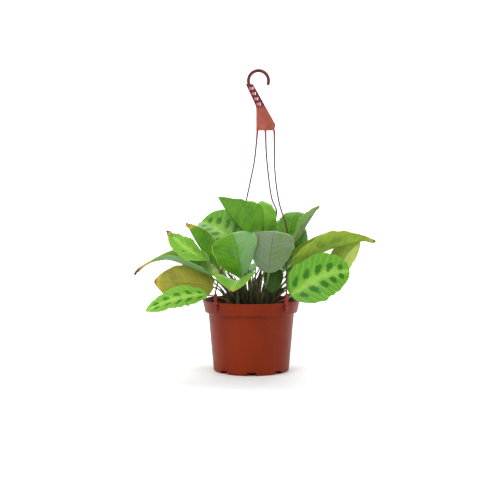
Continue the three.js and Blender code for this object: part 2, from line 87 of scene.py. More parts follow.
def wobble(x, random, waves, steepness=1.0):
    """A gentle random curve: a sum of sines of 1, 2, 3 ... periods with random phases, the finer the
    weaker."""
    k = np.arange(1, waves + 1)
    phase = random.uniform(0, 2 * math.pi, waves)
    weight = random.uniform(0.5, 1.0, waves) / k**steepness
    waves = np.sin(2 * math.pi * k * np.asarray(x)[..., None] + phase)
    return (weight * waves).sum(-1) / np.linalg.norm(weight)


def carried_frames(path):
    """Tangent, side and normal along a path: the first side is turned onto each next tangent in turn."""
    tangent = unit(np.gradient(path, axis=0))
    start = np.cross(tangent[0], [0.0, 1.0, 0.0] if abs(tangent[0][1]) < 0.9 else [1.0, 0.0, 0.0])
    side = np.empty_like(path)
    side[0] = start / np.linalg.norm(start)
    for i in range(1, len(path)):
        kept = side[i - 1] - side[i - 1].dot(tangent[i]) * tangent[i]
        side[i] = kept / np.linalg.norm(kept)
    return tangent, side, np.cross(tangent, side)


# ---- Meshes from grids ------------------------------------------------------------------------
def grid_faces(index, wrap):
    """Quads between neighbouring rows and columns of a grid of vertex numbers; wrap joins the last column
    to the first."""
    columns = np.concatenate([index, index[:, :1]], axis=1) if wrap else index
    corners = [columns[:-1, :-1], columns[:-1, 1:], columns[1:, 1:], columns[1:, :-1]]
    return np.stack(corners, axis=-1).reshape(-1, 4)


def make_mesh(name, points, quads, materials, material_of=None, uv=None, marks=None):
    """A smooth mesh object from points and quads. A quad with two equal corners becomes a triangle."""
    points = np.asarray(points, float).reshape(-1, 3)
    rolled = np.roll(quads, -1, axis=1)
    double = quads == rolled
    sides = 4 - double.sum(axis=1)
    valid = sides >= 3
    quads, double, sides = quads[valid], double[valid], sides[valid]
    loops = quads[~double]
    used, loops = np.unique(loops, return_inverse=True)
    mesh = bpy.data.meshes.new(name)
    mesh.vertices.add(len(used))
    mesh.vertices.foreach_set("co", points[used].astype(np.float32).ravel())
    mesh.loops.add(len(loops))
    mesh.loops.foreach_set("vertex_index", loops.astype(np.int32).ravel())
    mesh.polygons.add(len(sides))
    starts = np.concatenate([[0], np.cumsum(sides)[:-1]])
    mesh.polygons.foreach_set("loop_start", starts.astype(np.int32))
    for material in materials:
        mesh.materials.append(material)
    if material_of is not None:
        mesh.polygons.foreach_set("material_index", np.asarray(material_of)[valid].astype(np.int32))
    mesh.polygons.foreach_set("use_smooth", np.ones(len(sides), bool))
    if uv is not None:
        layer = mesh.uv_layers.new(name="surface")
        layer.data.foreach_set("uv", np.asarray(uv, np.float32).reshape(-1, 2)[used][loops].ravel())
    for label, values in (marks or {}).items():
        values = np.asarray(values, np.float32)
        if values.shape[-1] == 3:
            layer = mesh.attributes.new(label, "FLOAT_VECTOR", "POINT")
            layer.data.foreach_set("vector", values.reshape(-1, 3)[used].ravel())
    mesh.update()
    mesh.validate()
    made = bpy.data.objects.new(name, mesh)
    bpy.context.scene.collection.objects.link(made)
    return made


def capped(rings, path):
    """Points and quads of a closed tube: the rings of points round a path, and a point at each end of the
    path."""
    sides = rings.shape[1]
    ends = [np.repeat(path[[end], None], sides, axis=1) for end in (0, -1)]
    points = np.concatenate([ends[0], rings, ends[1]])
    index = np.arange(len(points) * sides).reshape(len(points), sides)
    index[0] = index[0, 0]
    index[-1] = index[-1, 0]
    return points.reshape(-1, 3), grid_faces(index, wrap=True)


def tube(path, radii, sides, flatten=1.0):
    """Points and quads of a closed tube: an ellipse of the given radii, carried along the path."""
    _, side, normal = carried_frames(path)
    turn = np.linspace(0, 2 * math.pi, sides, endpoint=False)
    flat = np.broadcast_to(np.asarray(flatten, float), (len(path),))
    turn = turn[:, None]
    ring = np.cos(turn) * side[:, None] + np.sin(turn) * normal[:, None] * flat[:, None, None]
    return capped(path[:, None] + ring * np.asarray(radii, float)[:, None, None], path)


def tube_map(sides, along):
    """A tube's UV map: its share of the way round, and the given value along it; the ends repeat the
    first and the last value."""
    along = np.concatenate([along[:1], along, along[-1:]])
    return np.stack(np.broadcast_arrays(np.linspace(0, 1, sides)[None, :], along[:, None]), axis=-1)


def lathe(profile, turns, bend=None):
    """Points and quads of a profile of [radius, height] points turned about Z; bend may move the points
    by angle."""
    profile = np.asarray(profile, float)
    angle = np.asarray(turns, float)
    radius = np.repeat(profile[:, :1], len(angle), axis=1)
    height = np.repeat(profile[:, 1:], len(angle), axis=1)
    if bend:
        radius, height = bend(radius, height, angle[None, :])
    points = np.stack([radius * np.cos(angle), radius * np.sin(angle), height], axis=-1)
    index = np.arange(radius.size).reshape(radius.shape)
    on_axis = profile[:, 0] == 0
    index[on_axis] = index[on_axis][:, :1]
    return points, grid_faces(index, wrap=True)


def rounded(corners, radii, steps=6):
    """A profile with each inner corner rounded by a quadratic Bezier between the points a radius away
    from it."""
    corners = np.asarray(corners, float)
    pieces = [corners[:1]]
    t = np.linspace(0, 1, steps)
    for before, corner, after, radius in zip(corners[:-2], corners[1:-1], corners[2:], radii):
        if radius:
            start = corner + unit(before - corner) * radius
            end = corner + unit(after - corner) * radius
            pieces.append(bezier([start, corner, end], t))
        else:
            pieces.append(corner[None])
    pieces.append(corners[-1:])
    return np.concatenate(pieces)


# ---- Materials --------------------------------------------------------------------------------
MIX_FACTOR, MIX_A, MIX_B, MIX_OUT = 0, 6, 7, 2  # a colour Mix node's sockets
VEIN_PAIRS = 11  # side veins on each half of a leaf
VEIN_SCALE = VEIN_PAIRS * 2 * math.pi / 20  # a band Wave texture has 20 / (2 pi) bands at scale 1


def colour(hex_code):
    """An sRGB hex colour as linear RGBA."""
    raw = np.array([int(hex_code[i : i + 2], 16) / 255 for i in (1, 3, 5)])
    linear = np.where(raw <= 0.04045, raw / 12.92, ((raw + 0.055) / 1.055) ** 2.4)
    return (*linear.tolist(), 1.0)


def add_node(tree, kind, inputs=None, **settings):
    """Adds a node, sets its properties, and sets or links each input, keyed by name or number."""
    node = tree.nodes.new(kind)
    for name, value in settings.items():
        setattr(node, name, value)
    for key, value in (inputs or {}).items():
        if isinstance(value, bpy.types.NodeSocket):
            tree.links.new(value, node.inputs[key])
        else:
            node.inputs[key].default_value = value
    return node


def new_material(name):
    """An empty node material with its Principled shader."""
    material = bpy.data.materials.new(name)
    material.use_nodes = True
    tree = material.node_tree
    tree.nodes.clear()
    shader = add_node(tree, "ShaderNodeBsdfPrincipled")
    add_node(tree, "ShaderNodeOutputMaterial", {"Surface": shader.outputs[0]})
    return material, tree, shader


def layered(tree, base, layers):
    """Colours laid over a base in turn. A layer is its hex colour, the value that places it, the two ends
    between which that value brings it in by a smooth step, and the share that it covers at most."""
    for over, value, low, high, most in layers:
        inputs = {"Value": value, "From Min": low, "From Max": high, "To Max": most}
        share = add_node(tree, "ShaderNodeMapRange", inputs, interpolation_type="SMOOTHSTEP").outputs[0]
        inputs = {MIX_FACTOR: share, MIX_A: base, MIX_B: colour(over)}
        base = add_node(tree, "ShaderNodeMix", inputs, data_type="RGBA").outputs[MIX_OUT]
    return base


def finish(tree, shader, base, relief, strength, depth, constants):
    """Links the base colour and a relief whose full height is depth in metres, and sets the shader's
    constants."""
    tree.links.new(base, shader.inputs["Base Color"])
    bump = add_node(tree, "ShaderNodeBump", {"Strength": strength, "Distance": depth, "Height": relief})
    tree.links.new(bump.outputs[0], shader.inputs["Normal"])
    for name, value in constants.items():
        shader.inputs[name].default_value = value


def grain(tree, scale, detail=3.0, roughness=0.55, stretch=(1.0, 1.0, 1.0)):
    """Noise on Object coordinates; scale is per metre."""
    place = add_node(tree, "ShaderNodeTexCoord").outputs["Object"]
    mapped = add_node(tree, "ShaderNodeMapping", {"Vector": place, "Scale": stretch}).outputs[0]
    inputs = {"Vector": mapped, "Scale": scale, "Detail": detail, "Roughness": roughness}
    return add_node(tree, "ShaderNodeTexNoise", inputs).outputs[0]


def frayed(tree, value, noise, share):
    """A value whose edges are frayed: the value plus a share of the noise."""
    inputs = {0: noise, 1: share, 2: value}
    return add_node(tree, "ShaderNodeMath", inputs, operation="MULTIPLY_ADD").outputs[0]


def way_along(tree):
    """How far along a tube a point lies, from its UV map."""
    place = add_node(tree, "ShaderNodeUVMap", uv_map="surface").outputs[0]
    return add_node(tree, "ShaderNodeSeparateXYZ", {0: place}).outputs[1]


def blade_marks(tree):
    """A leaf's marks, as worked out on its grid: distance from the midrib, blotch, scorch, silver, and a
    wave that peaks on its side veins."""
    place = add_node(tree, "ShaderNodeAttribute", attribute_name="blade").outputs["Vector"]
    across, _, phase = add_node(tree, "ShaderNodeSeparateXYZ", {0: place}).outputs
    distance = add_node(tree, "ShaderNodeMath", {0: across}, operation="ABSOLUTE").outputs[0]
    painted = add_node(tree, "ShaderNodeAttribute", attribute_name="marks").outputs["Vector"]
    blotch, scorch, silver = add_node(tree, "ShaderNodeSeparateXYZ", {0: painted}).outputs
    drift = frayed(tree, phase, grain(tree, 90.0, 2.0), 0.05)
    bands = add_node(tree, "ShaderNodeCombineXYZ", {0: drift}).outputs[0]
    inputs = {"Vector": bands, "Scale": VEIN_SCALE, "Distortion": 0.0}
    kind = {"wave_type": "BANDS", "bands_direction": "X", "wave_profile": "SIN"}
    wave = add_node(tree, "ShaderNodeTexWave", inputs, **kind).outputs["Fac"]
    return distance, blotch, scorch, silver, wave


# The side of a leaf that faces the light: a waxy cuticle, pale along the midrib and the side veins, greener
# towards the margin, with dark green blotches between the veins.
def upper_skin(name, pale, green, dark):
    material, tree, shader = new_material(name)
    distance, blotch, scorch, silver, wave = blade_marks(tree)
    cloud = grain(tree, 70.0)  # patches about 14 mm across
    cells = grain(tree, 260.0, 4.0)  # cell groups about 4 mm across
    torn = grain(tree, 190.0, 3.0, 0.7)  # torn edges about 5 mm across
    spots = frayed(tree, blotch, torn, 1.9)
    base = layered(tree, colour(pale), [
        (green, frayed(tree, distance, cells, 0.7), 0.35, 0.8, 1.0),
        (green, cloud, 0.45, 0.75, 0.7),
        (pale, wave, 0.8, 1.0, 0.45),
        (green, spots, 0.85, 1.35, 0.9),
        (dark, spots, 1.3, 1.7, 0.95),
        ("#97b56c", silver, 0.0, 1.0, 0.75),
        (pale, distance, 0.03, 0.0, 0.7),
        (pale, distance, 0.96, 1.0, 0.6),
    ])
    finish_leaf(tree, shader, base, scorch, wave, cells, 0.45)
    return material


# The back of a leaf: matt, silvery where the skin lifts off the green, with thin raised veins and a pale
# margin.
def under_skin(name, green, deep, silver_hex):
    material, tree, shader = new_material(name)
    distance, blotch, scorch, silver, wave = blade_marks(tree)
    cloud = grain(tree, 55.0, 4.0)  # patches about 18 mm across
    fleck = grain(tree, 420.0, 4.0)  # flecks about 2 mm across
    base = layered(tree, colour(green), [
        (deep, cloud, 0.42, 0.7, 0.8),
        (deep, blotch, 0.2, 1.3, 0.35),
        (silver_hex, frayed(tree, silver, cloud, 1.2), 0.75, 1.35, 0.9),
        ("#a9c47c", wave, 0.93, 1.0, 0.09),
        (deep, wave, 0.82, 0.7, 0.06),
        (deep, distance, 0.028, 0.0, 0.9),
        ("#a7cc6c", distance, 0.955, 0.995, 0.75),
    ])
    finish_leaf(tree, shader, base, scorch, wave, fleck, 0.55)
    return material


def finish_leaf(tree, shader, base, scorch, wave, fleck, roughness):
    """Dry tissue over the leaf's colours, yellow where scorch begins and brown where it is strong, then
    relief from veins and cells. The skin is slightly waxy and lets a little light into the leaf."""
    ragged = frayed(tree, scorch, fleck, 0.6)
    base = layered(tree, base, [("#b39a3a", ragged, 0.45, 0.8, 1.0), ("#6a3416", ragged, 0.95, 1.15, 1.0)])
    finish(tree, shader, base, frayed(tree, fleck, wave, 0.3), 0.3, 0.0004, {
        "Roughness": roughness,
        "IOR": 1.42,
        "Specular IOR Level": 0.25,
        "Subsurface Weight": 0.12,
        "Subsurface Radius": (0.6, 1.0, 0.2),
        "Subsurface Scale": 0.0012,
    })


# Leaf tissue: (upper pale, upper green, upper dark), (under green, under deep, under silver).
# The shade and deep sets are darker copies of the fresh green: painted shade for leaves inside the plant.
LEAF_SKINS = {
    "fresh": (("#8cb84a", "#5b9624", "#2b660c"), ("#578e18", "#3a7010", "#7aa56c")),
    "bright": (("#9cc854", "#72aa34", "#357a10"), ("#7ab436", "#5c981c", "#8cb46c")),
    "shade": (("#5f9030", "#3f7a18", "#1f5006"), ("#3f7c18", "#24500a", "#5f9448")),
    "silver": (("#8cb06a", "#62903a", "#2d5a18"), ("#62803a", "#4a662c", "#74856a")),
    "yellowing": (("#a9b346", "#8aa02c", "#4e7a18"), ("#84a028", "#55791a", "#a3a854")),
    "deep": (("#44701c", "#2f5a12", "#183c08"), ("#2f5212", "#203c08", "#44682c")),
    "yellow": (("#b4c45a", "#a0b24c", "#6d8c2a"), ("#a4b850", "#8aa03c", "#b0bc6c")),
    "olive": (("#8f9a38", "#7d8a2c", "#5c5a1c"), ("#929030", "#6f6c20", "#94884c")),
}


# Dry rolled leaf end: olive and leathery, then brown and nearly black where the tissue has died back.
def dry_leaf():
    material, tree, shader = new_material("dry_leaf_tip")
    crease = grain(tree, 300.0, 4.0, 0.6)  # creases about 3 mm apart
    along = frayed(tree, way_along(tree), crease, 0.35)
    base = layered(tree, colour("#7c9638"), [
        ("#a3a04a", along, 0.3, 0.85, 1.0),
        ("#7a4a2a", along, 0.85, 1.05, 1.0),
        ("#2a2214", along, 1.05, 1.2, 1.0),
    ])
    finish(tree, shader, base, crease, 0.5, 0.0005, {"Roughness": 0.7, "Specular IOR Level": 0.25})
    return material


# Leaf stalk: a smooth green rod, brown and fibrous where its old sheath wraps it near the soil; the
# near-black foot and the dark streaks are also painted shade under the leaves.
def stalk_skin():
    material, tree, shader = new_material("stalk_sheath_and_painted_shade")
    cloud = grain(tree, 120.0, 4.0)  # patches about 8 mm across
    streak = grain(tree, 900.0, 3.0, 0.6, (1.0, 1.0, 0.12))  # fibres about 1 mm across, 9 mm long
    along = frayed(tree, way_along(tree), cloud, 0.5)
    # Near black towards the soil: the brown sheath and painted shade under the leaves together.
    base = layered(tree, colour("#241f12"), [
        ("#55542a", along, 0.35, 0.8, 1.0),
        ("#6f8a3a", along, 0.9, 1.2, 1.0),
        ("#0f0e08", streak, 0.5, 0.7, 0.5),
    ])
    finish(tree, shader, base, streak, 0.5, 0.0003, {"Roughness": 0.55})
    return material


# Polypropylene, injection moulded: an even red-brown with a soft gloss, faint flow marks and dull
# handling marks.
def pot_plastic(base_hex):
    material, tree, shader = new_material("moulded_polypropylene_pot")
    flow = grain(tree, 18.0, 3.0, 0.6, (1.0, 1.0, 0.35))  # flow marks about 55 mm wide, running up the wall
    dust = grain(tree, 70.0, 5.0)  # handling marks about 14 mm across
    skin = grain(tree, 1500.0, 2.0)  # the mould's surface, drawn coarser than it is so that it shows
    base = layered(tree, colour(base_hex), [
        ("#722204", flow, 0.35, 0.7, 1.0),
        ("#8e4026", dust, 0.55, 0.85, 0.25),
    ])
    span = {"Value": dust, "From Min": 0.3, "From Max": 0.75, "To Min": 0.33, "To Max": 0.46}
    gloss = add_node(tree, "ShaderNodeMapRange", span, interpolation_type="SMOOTHSTEP").outputs[0]
    tree.links.new(gloss, shader.inputs["Roughness"])
    finish(tree, shader, base, skin, 0.12, 0.0002, {"IOR": 1.49, "Specular IOR Level": 0.12})
    return material


# Polypropylene, drawn into strands and moulded plates: duller than the pot, a dusky red-purple. Where the
# plastic turns thick, from a given height up, it may be darker.
def hanger_plastic(name, base_hex, light_hex, thick_hex=None, thick_from=0.0):
    material, tree, shader = new_material(name)
    flow = grain(tree, 60.0)  # flow marks about 17 mm across
    skin = grain(tree, 2500.0, 2.0)  # the mould's surface, under half a millimetre
    base = layered(tree, colour(base_hex), [(light_hex, flow, 0.35, 0.72, 1.0)])
    if thick_hex:
        place = add_node(tree, "ShaderNodeTexCoord").outputs["Object"]
        height = add_node(tree, "ShaderNodeSeparateXYZ", {0: place}).outputs[2]
        base = layered(tree, base, [(thick_hex, height, thick_from, thick_from + 12 * MM, 1.0)])
    constants = {"Roughness": 0.36, "IOR": 1.49, "Specular IOR Level": 0.25}
    finish(tree, shader, base, skin, 0.1, 0.0001, constants)
    return material


# Peat potting mix: nearly black, matt, with lighter fibres and bark.
def peat():
    material, tree, shader = new_material("peat_potting_mix")
    clump = grain(tree, 260.0, 5.0, 0.65)  # clumps about 4 mm across
    fibre = grain(tree, 1400.0, 3.0, 0.6, (1.0, 0.25, 1.0))  # fibres under 1 mm across
    base = layered(tree, colour("#15100b"), [
        ("#3a2a1c", clump, 0.4, 0.68, 1.0),
        ("#6b5238", fibre, 0.66, 0.8, 0.6),
    ])
    finish(tree, shader, base, clump, 0.9, 0.0012, {"Roughness": 0.95})
    return material


# ---- Leaves: one row each ---------------------------------------------------------------------
# name; root: where the stalk leaves the soil, (x, y) in mm; width: of the blade in mm, edge to edge.
# tint: the finish that its slot names; skin: its tissue's colours, if they differ from the tint's;
# the shade and deep skins are darker copies, painted shade on leaves inside the plant.
# spine: control points of the midrib's Bezier curve, base to tip, (x, y, height above the rim) in mm.
# face: which way the upper side looks at the base and at the tip.
# fold: degrees that each half is raised towards the face, [(left at base, tip), (right at base, tip)].
# roll: degrees that each half curls in, given the same way. Both change with the square of the way along.
# shape: the outline's two exponents, where it is widest and how blunt it is.
# wave: height of the ripple along the edges in mm, and ripples along the blade.
# scorch: how far the tip and edge have dried; blotch: how dark the pattern is.
# silver: how silvery the left and the right half are.
USUAL = {
    "tint": "fresh",
    "shape": (0.88, 0.62),
    "wave": (1.2, 2),
    "scorch": 0.15,
    "blotch": 0.9,
    "silver": (0, 0),
    "roll": [(10, 10), (10, 10)],
}
ROWS = [
    dict(
        name="front_left", root=(-10, -28), width=74, wave=(1.5, 2), scorch=0.1, blotch=0.3,
        silver=(0.75, 0.05), spine=[(-15, -51, 38), (-19, -75, 76), (-27, -88, 114), (-32, -56, 102)],
        face=[(0, 1, 0), (0.2, 0.35, -1)], fold=[(35, 0), (5, 5)], roll=[(5, 5), (5, 5)],
    ),
    dict(
        name="front_middle", root=(12, -30), width=68, tint="silver", shape=(0.9, 0.45), wave=(1.5, 2),
        scorch=0.1, blotch=0.3, silver=(0.6, 0.85),
        spine=[(26, -39, 43), (29, -54, 86), (34, -71, 116), (38, -32, 104)],
        face=[(0, 1, 0), (0, 0.35, -1)], fold=[(8, 5), (5, 5)], roll=[(12, 8), (10, 8)],
    ),
    dict(
        name="top_left", root=(-4, 2), width=96, shape=(0.66, 0.8), wave=(1.5, 2), scorch=0.35, blotch=0.1,
        spine=[(8, -6, 90), (-18, -4, 106), (-38, 2, 134), (-52, 14, 158)], face=[(0, 1, 0), (0, 1, 0)],
        fold=[(0, 5), (142, 130)], roll=[(8, 8), (5, 5)],
    ),
    dict(
        name="top_middle", root=(8, 4), width=48, skin="bright", wave=(1.5, 2), scorch=0.3, blotch=0.2,
        spine=[(20, 18, 84), (20, 16, 116), (20, 22, 158), (16, 50, 152)], face=[(0, 1, 0), (0, 0.3, -1)],
        fold=[(25, 15), (25, 15)], roll=[(15, 20), (15, 20)],
    ),
    dict(
        name="back_left", root=(-16, 6), width=86, tint="shade", skin="fresh", wave=(1.5, 2), scorch=0.2,
        blotch=1.0, silver=(0.0, 0.2), spine=[(-18, 2, 80), (-44, 20, 112), (-80, 52, 118)],
        face=[(-0.1, -0.7, 0.7), (-0.1, -0.7, 0.7)], fold=[(10, 15), (10, 15)],
    ),
    dict(
        name="left_high", root=(-20, -2), width=56, wave=(1.5, 2), scorch=0.9, blotch=0.2,
        spine=[(-50, -22, 49), (-77, -28, 73), (-98, -21, 117)], face=[(0.5, 0.8, 0), (0.5, 0.8, 0)],
        fold=[(10, 10), (120, 118)],
    ),
    dict(
        name="left_long", root=(-27, -16), width=64, tint="shade", skin="fresh", shape=(0.5, 2.2),
        wave=(1, 2), scorch=0.8, blotch=0.15, silver=(0.9, 0.5),
        spine=[(-57, -34, 39), (-100, -30, 48), (-132, -26, 86), (-176, -22, 43)],
        face=[(0, 0, 1), (-0.4, 0, 0.9)], fold=[(14, 35), (75, 45)], roll=[(10, 60), (10, 60)],
    ),
    dict(
        name="left_thin", root=(-34, -8), width=44, tint="yellowing", skin="bright", shape=(1.1, 0.9),
        wave=(1, 2), scorch=0.8, blotch=0.45, spine=[(-66, -41, 62), (-98, -48, 80), (-125, -44, 105)],
        face=[(0.3, 0, 0.9), (0.3, 0, 0.9)], fold=[(-48, -58), (35, 30)],
    ),
    dict(
        name="left_low", root=(-34, -22), width=64, tint="olive", scorch=0.9, blotch=0.2,
        silver=(0.0, 0.3), spine=[(-57, -32, 21), (-100, -38, 30), (-147, -34, 30)],
        face=[(0, 1, -0.2), (0, 1, -0.2)], fold=[(5, 20), (5, 10)], roll=[(10, 15), (10, 10)],
    ),
    dict(
        name="left_droop", root=(-26, -31), width=46, skin="bright", wave=(1.5, 2), scorch=0.3, blotch=1.0,
        spine=[(-66, -52, 11), (-106, -60, 14), (-157, -60, -12)], face=[(0, -0.6, 0.8), (0, -0.6, 0.8)],
        fold=[(5, 5), (5, 5)], roll=[(5, 5), (5, 5)],
    ),
    dict(
        name="front_low", root=(-20, -38), width=68, skin="bright", wave=(1, 2), scorch=0.7, blotch=0.3,
        silver=(0.3, 0.3), spine=[(-23, -51, 32), (-24, -70, 35), (-27, -92, 20)],
        face=[(0, -0.2, 1), (0, -0.4, 1)], fold=[(25, 20), (15, 10)], roll=[(10, 10), (20, 20)],
    ),
    # inner_low hangs in the shade below front_middle: its deep skin is painted shade.
    dict(
        name="inner_low", root=(22, -14), width=32, tint="shade", skin="deep", wave=(1, 2), scorch=0.0,
        blotch=0.2, spine=[(35, -20, 54), (34, -29, 38), (31, -32, 12)], face=[(0, 1, 0), (0, 1, 0)],
        fold=[(10, 10), (10, 10)],
    ),
    dict(
        name="right_low", root=(30, -24), width=72, shape=(0.85, 0.5), scorch=0.35, blotch=1.15,
        spine=[(59, -48, 10), (104, -52, 48), (148, -42, 46)], face=[(-0.2, -1, 0.3), (0, -1, 0.3)],
        fold=[(5, 5), (5, 5)], roll=[(5, 5), (5, 5)],
    ),
    dict(
        name="right_long", root=(29, -12), width=62, tint="yellowing", shape=(0.7, 0.85), wave=(1.5, 2),
        scorch=0.9, blotch=0.1, spine=[(62, -23, 46), (98, -25, 74), (150, -20, 94), (188, -12, 90)],
        face=[(-0.3, 0, 0.95), (-0.3, 0, 0.95)], fold=[(55, 55), (50, 45)], roll=[(10, 10), (5, 10)],
    ),
    dict(
        name="right_small", root=(36, -3), width=50, tint="yellowing", skin="yellow", wave=(1, 2),
        scorch=0.3, blotch=0.1, spine=[(132, -6, 36), (142, -8, 72), (168, -6, 88)],
        face=[(0, 1, 0), (0, 1, 0)], fold=[(40, 40), (25, 25)],
    ),
    # right_mid sits behind other leaves: its shade skin is painted shade.
    dict(
        name="right_mid", root=(30, 4), width=38, tint="shade", wave=(1, 2), scorch=0.1, blotch=0.3,
        spine=[(73, 10, 60), (79, 6, 86), (82, 11, 112)], face=[(-0.6, 0.7, 0), (-0.6, 0.7, 0)],
        fold=[(10, 10), (10, 10)],
    ),
    dict(
        name="right_rolled", root=(24, -6), width=38, tint="silver", wave=(1, 2), scorch=0.5, blotch=0.2,
        silver=(0.3, 0.3), spine=[(60, -20, 80), (80, -22, 108), (103, -9, 143)],
        face=[(-0.8, -0.1, 0.55), (-0.8, -0.1, 0.55)], fold=[(20, 60), (20, 20)],
        roll=[(10, 20), (15, 15)],
    ),
    dict(
        name="right_top", root=(18, 6), width=44, wave=(1, 2), scorch=0.2, blotch=0.2, silver=(0.1, 0.1),
        spine=[(54, -1, 86), (60, -5, 112), (70, 4, 140), (76, 28, 134)], face=[(0, 1, 0), (0, 0.3, -1)],
        fold=[(5, 5), (5, 5)],
    ),
    dict(
        name="rear_middle", root=(0, 18), width=64,
        spine=[(-8, 28, 75), (-10, 42, 105), (-14, 66, 132), (-14, 92, 122)],
        face=[(0, -0.7, 0.7), (0, -0.5, 0.9)], fold=[(25, 15), (25, 15)],
    ),
    dict(
        name="rear_right", root=(14, 24), width=62, tint="silver",
        spine=[(50, 34, 68), (60, 50, 96), (72, 74, 122), (84, 96, 112)],
        face=[(-0.4, -0.6, 0.7), (-0.3, -0.4, 0.9)], fold=[(25, 15), (25, 15)],
    ),
    dict(
        name="rear_left", root=(-12, 20), width=66,
        spine=[(-30, 40, 70), (-44, 58, 96), (-64, 84, 114), (-80, 106, 102)],
        face=[(0.4, -0.6, 0.7), (0.3, -0.4, 0.9)], fold=[(25, 15), (25, 15)],
    ),
    dict(
        name="right_rear", root=(34, 14), width=56,
        spine=[(56, 22, 26), (84, 38, 48), (112, 54, 48), (136, 64, 28)],
        face=[(-0.3, -0.3, 0.9), (0.2, 0.1, 1)], fold=[(15, 10), (15, 10)],
    ),
    # rear_low_right sits under the rear leaves: its shade skin is painted shade.
    dict(
        name="rear_low_right", root=(22, 30), width=62, tint="shade",
        spine=[(34, 50, 28), (48, 74, 50), (58, 100, 50), (64, 124, 36)],
        face=[(-0.1, -0.4, 0.9), (0.1, 0.2, 1)], fold=[(15, 10), (15, 10)],
    ),
    dict(
        name="rear_low_middle", root=(2, 36), width=60,
        spine=[(-12, 52, 24), (-16, 80, 46), (-18, 108, 48), (-20, 130, 32)],
        face=[(0, -0.4, 0.9), (0, 0.2, 1)], fold=[(15, 10), (15, 10)],
    ),
    dict(
        name="rear_low_left", root=(-20, 28), width=62, tint="yellowing",
        spine=[(-46, 44, 26), (-70, 64, 48), (-94, 86, 48), (-114, 102, 28)],
        face=[(0.2, -0.3, 0.9), (-0.1, 0.2, 1)], fold=[(15, 10), (15, 10)],
    ),
    dict(
        name="left_rear", root=(-34, 12), width=50,
        spine=[(-58, 10, 24), (-90, 18, 43), (-116, 24, 43), (-138, 28, 23)],
        face=[(0.3, -0.2, 0.9), (-0.2, 0.1, 1)], fold=[(15, 10), (15, 10)],
    ),
    # right_inner sits inside the plant: its shade skin is painted shade.
    dict(
        name="right_inner", root=(27, 13), width=50, tint="shade",
        spine=[(51, 25, 44), (72, 43, 62), (90, 59, 74), (101, 74, 66)],
        face=[(-0.5, -0.4, 0.8), (-0.4, -0.3, 0.9)], fold=[(20, 15), (20, 15)],
    ),
]
LEAVES = [{**USUAL, "skin": row.get("tint", USUAL["tint"]), **row} for row in ROWS]


END_CROWDING = 0.12  # how much the steps along a blade crowd at its ends
MARGIN_CROWDING = 0.25  # how much the steps across a blade crowd at its margins
UNEVEN = 0.035  # how much a margin wanders, as a share of the half width
FLATTEST = 1e-4  # radians, the least bend, which keeps its circle finite
NARROWEST_HALF = 1.6  # mm, half of a blade's width where it meets its stalk and at its tip
VEIN_SWEEP = 0.2  # how far a side vein runs forward, as a share of the blade
QUILT = 0.16 * MM  # height of the swelling between side veins
BLOTCH_PAIRS = 5.5  # blotches along each half of a blade
BLOTCH_PLACE, BLOTCH_CLOSING = 0.42, 0.1  # how far out a blotch lies, and how much less at the tip
BLOTCH_HALF_ACROSS, BLOTCH_HALF_ALONG = 0.24, 0.34  # shares of a half width, and of the blotches' spacing
ROOT_DEPTH = 9 * MM
SOIL_BELOW_BOX = 1.5 * MM  # how far the level soil lies below the top of its clumps


def spine_points(leaf):
    """The midrib's control points in metres, heights counted from the rim."""
    return np.array(leaf["spine"], float) * MM + [0, 0, POT_TOP]


def blade_surface(leaf, rows, columns, ripple):
    """Middle surface of a blade. Each half leaves the midrib at its fold angle and bends on a circle by
    its roll angle, over a half width of sin(pi s^a)^b; the edge ripples by a sine that grows with the
    square of the way out."""
    seed = [SEED, len(leaf["name"]), int(leaf["width"]), int(abs(leaf["spine"][0][0]))]
    random = np.random.default_rng(seed)
    ease = np.linspace(0, 1, rows + 1)
    s = (ease - END_CROWDING * np.sin(2 * math.pi * ease) / (2 * math.pi))[:, None]
    v = np.linspace(-1, 1, columns + 1)
    v = (v * (1 + MARGIN_CROWDING * (1 - np.abs(v))))[None, :]
    spine = spine_points(leaf)
    centre = bezier(spine, s[:, 0])
    along = unit(bezier_slope(spine, s[:, 0]))
    first, last = np.array(leaf["face"][0], float), np.array(leaf["face"][1], float)
    hint = (1 - s) * first + s * last
    face = unit(hint - (hint * along).sum(-1, keepdims=True) * along)
    right = np.cross(along, face)
    where, blunt = leaf["shape"]
    full = np.sin(math.pi * np.clip(s, 0, 1) ** where).clip(0) ** blunt
    half = np.maximum(full * leaf["width"] / 2, NARROWEST_HALF) * MM
    is_right = v >= 0
    uneven = [1 + UNEVEN * wobble(s, random, 7, 0.5) for _ in range(2)]
    half = half * np.where(is_right, uneven[1], uneven[0])

    def angle(pairs):
        left, other = (pair[0] + (pair[1] - pair[0]) * s * s for pair in pairs)
        return np.radians(np.where(is_right, other, left))

    fold = angle(leaf["fold"])
    bend = np.maximum(np.abs(angle(leaf["roll"])), FLATTEST) / half
    out = np.abs(v) * half
    sideways = (np.sin(fold + bend * out) - np.sin(fold)) / bend
    raised = (np.cos(fold) - np.cos(fold + bend * out)) / bend
    height, count = leaf["wave"]
    regular = np.sin(2 * math.pi * (count * s + 0.25 * is_right))
    free = [wobble(s, random, 11, 0.3) for _ in range(2)]
    free = np.where(is_right, free[1], free[0])
    lift = height * MM * v**2 * (regular + ripple * free * v**2) * full
    phase = s - VEIN_SWEEP * np.abs(v) ** 1.25 * full
    quilt = QUILT * np.sin(math.pi * VEIN_PAIRS * phase) ** 2 * np.sin(math.pi * np.abs(v).clip(0, 1)) * full
    outward = np.where(is_right, 1.0, -1.0) * sideways
    lifted = raised + lift
    points = centre[:, None] + right[:, None] * outward[..., None] + face[:, None] * lifted[..., None]
    du, dv = np.gradient(points, axis=1), np.gradient(points, axis=0)
    normal = unit(np.cross(du, dv))
    normal *= np.sign((normal[:, columns // 2] * face).sum(-1))[:, None, None]
    points = points + normal * quilt[..., None]
    return points, normal, s + 0 * v, v + 0 * s, phase + 0 * v, full


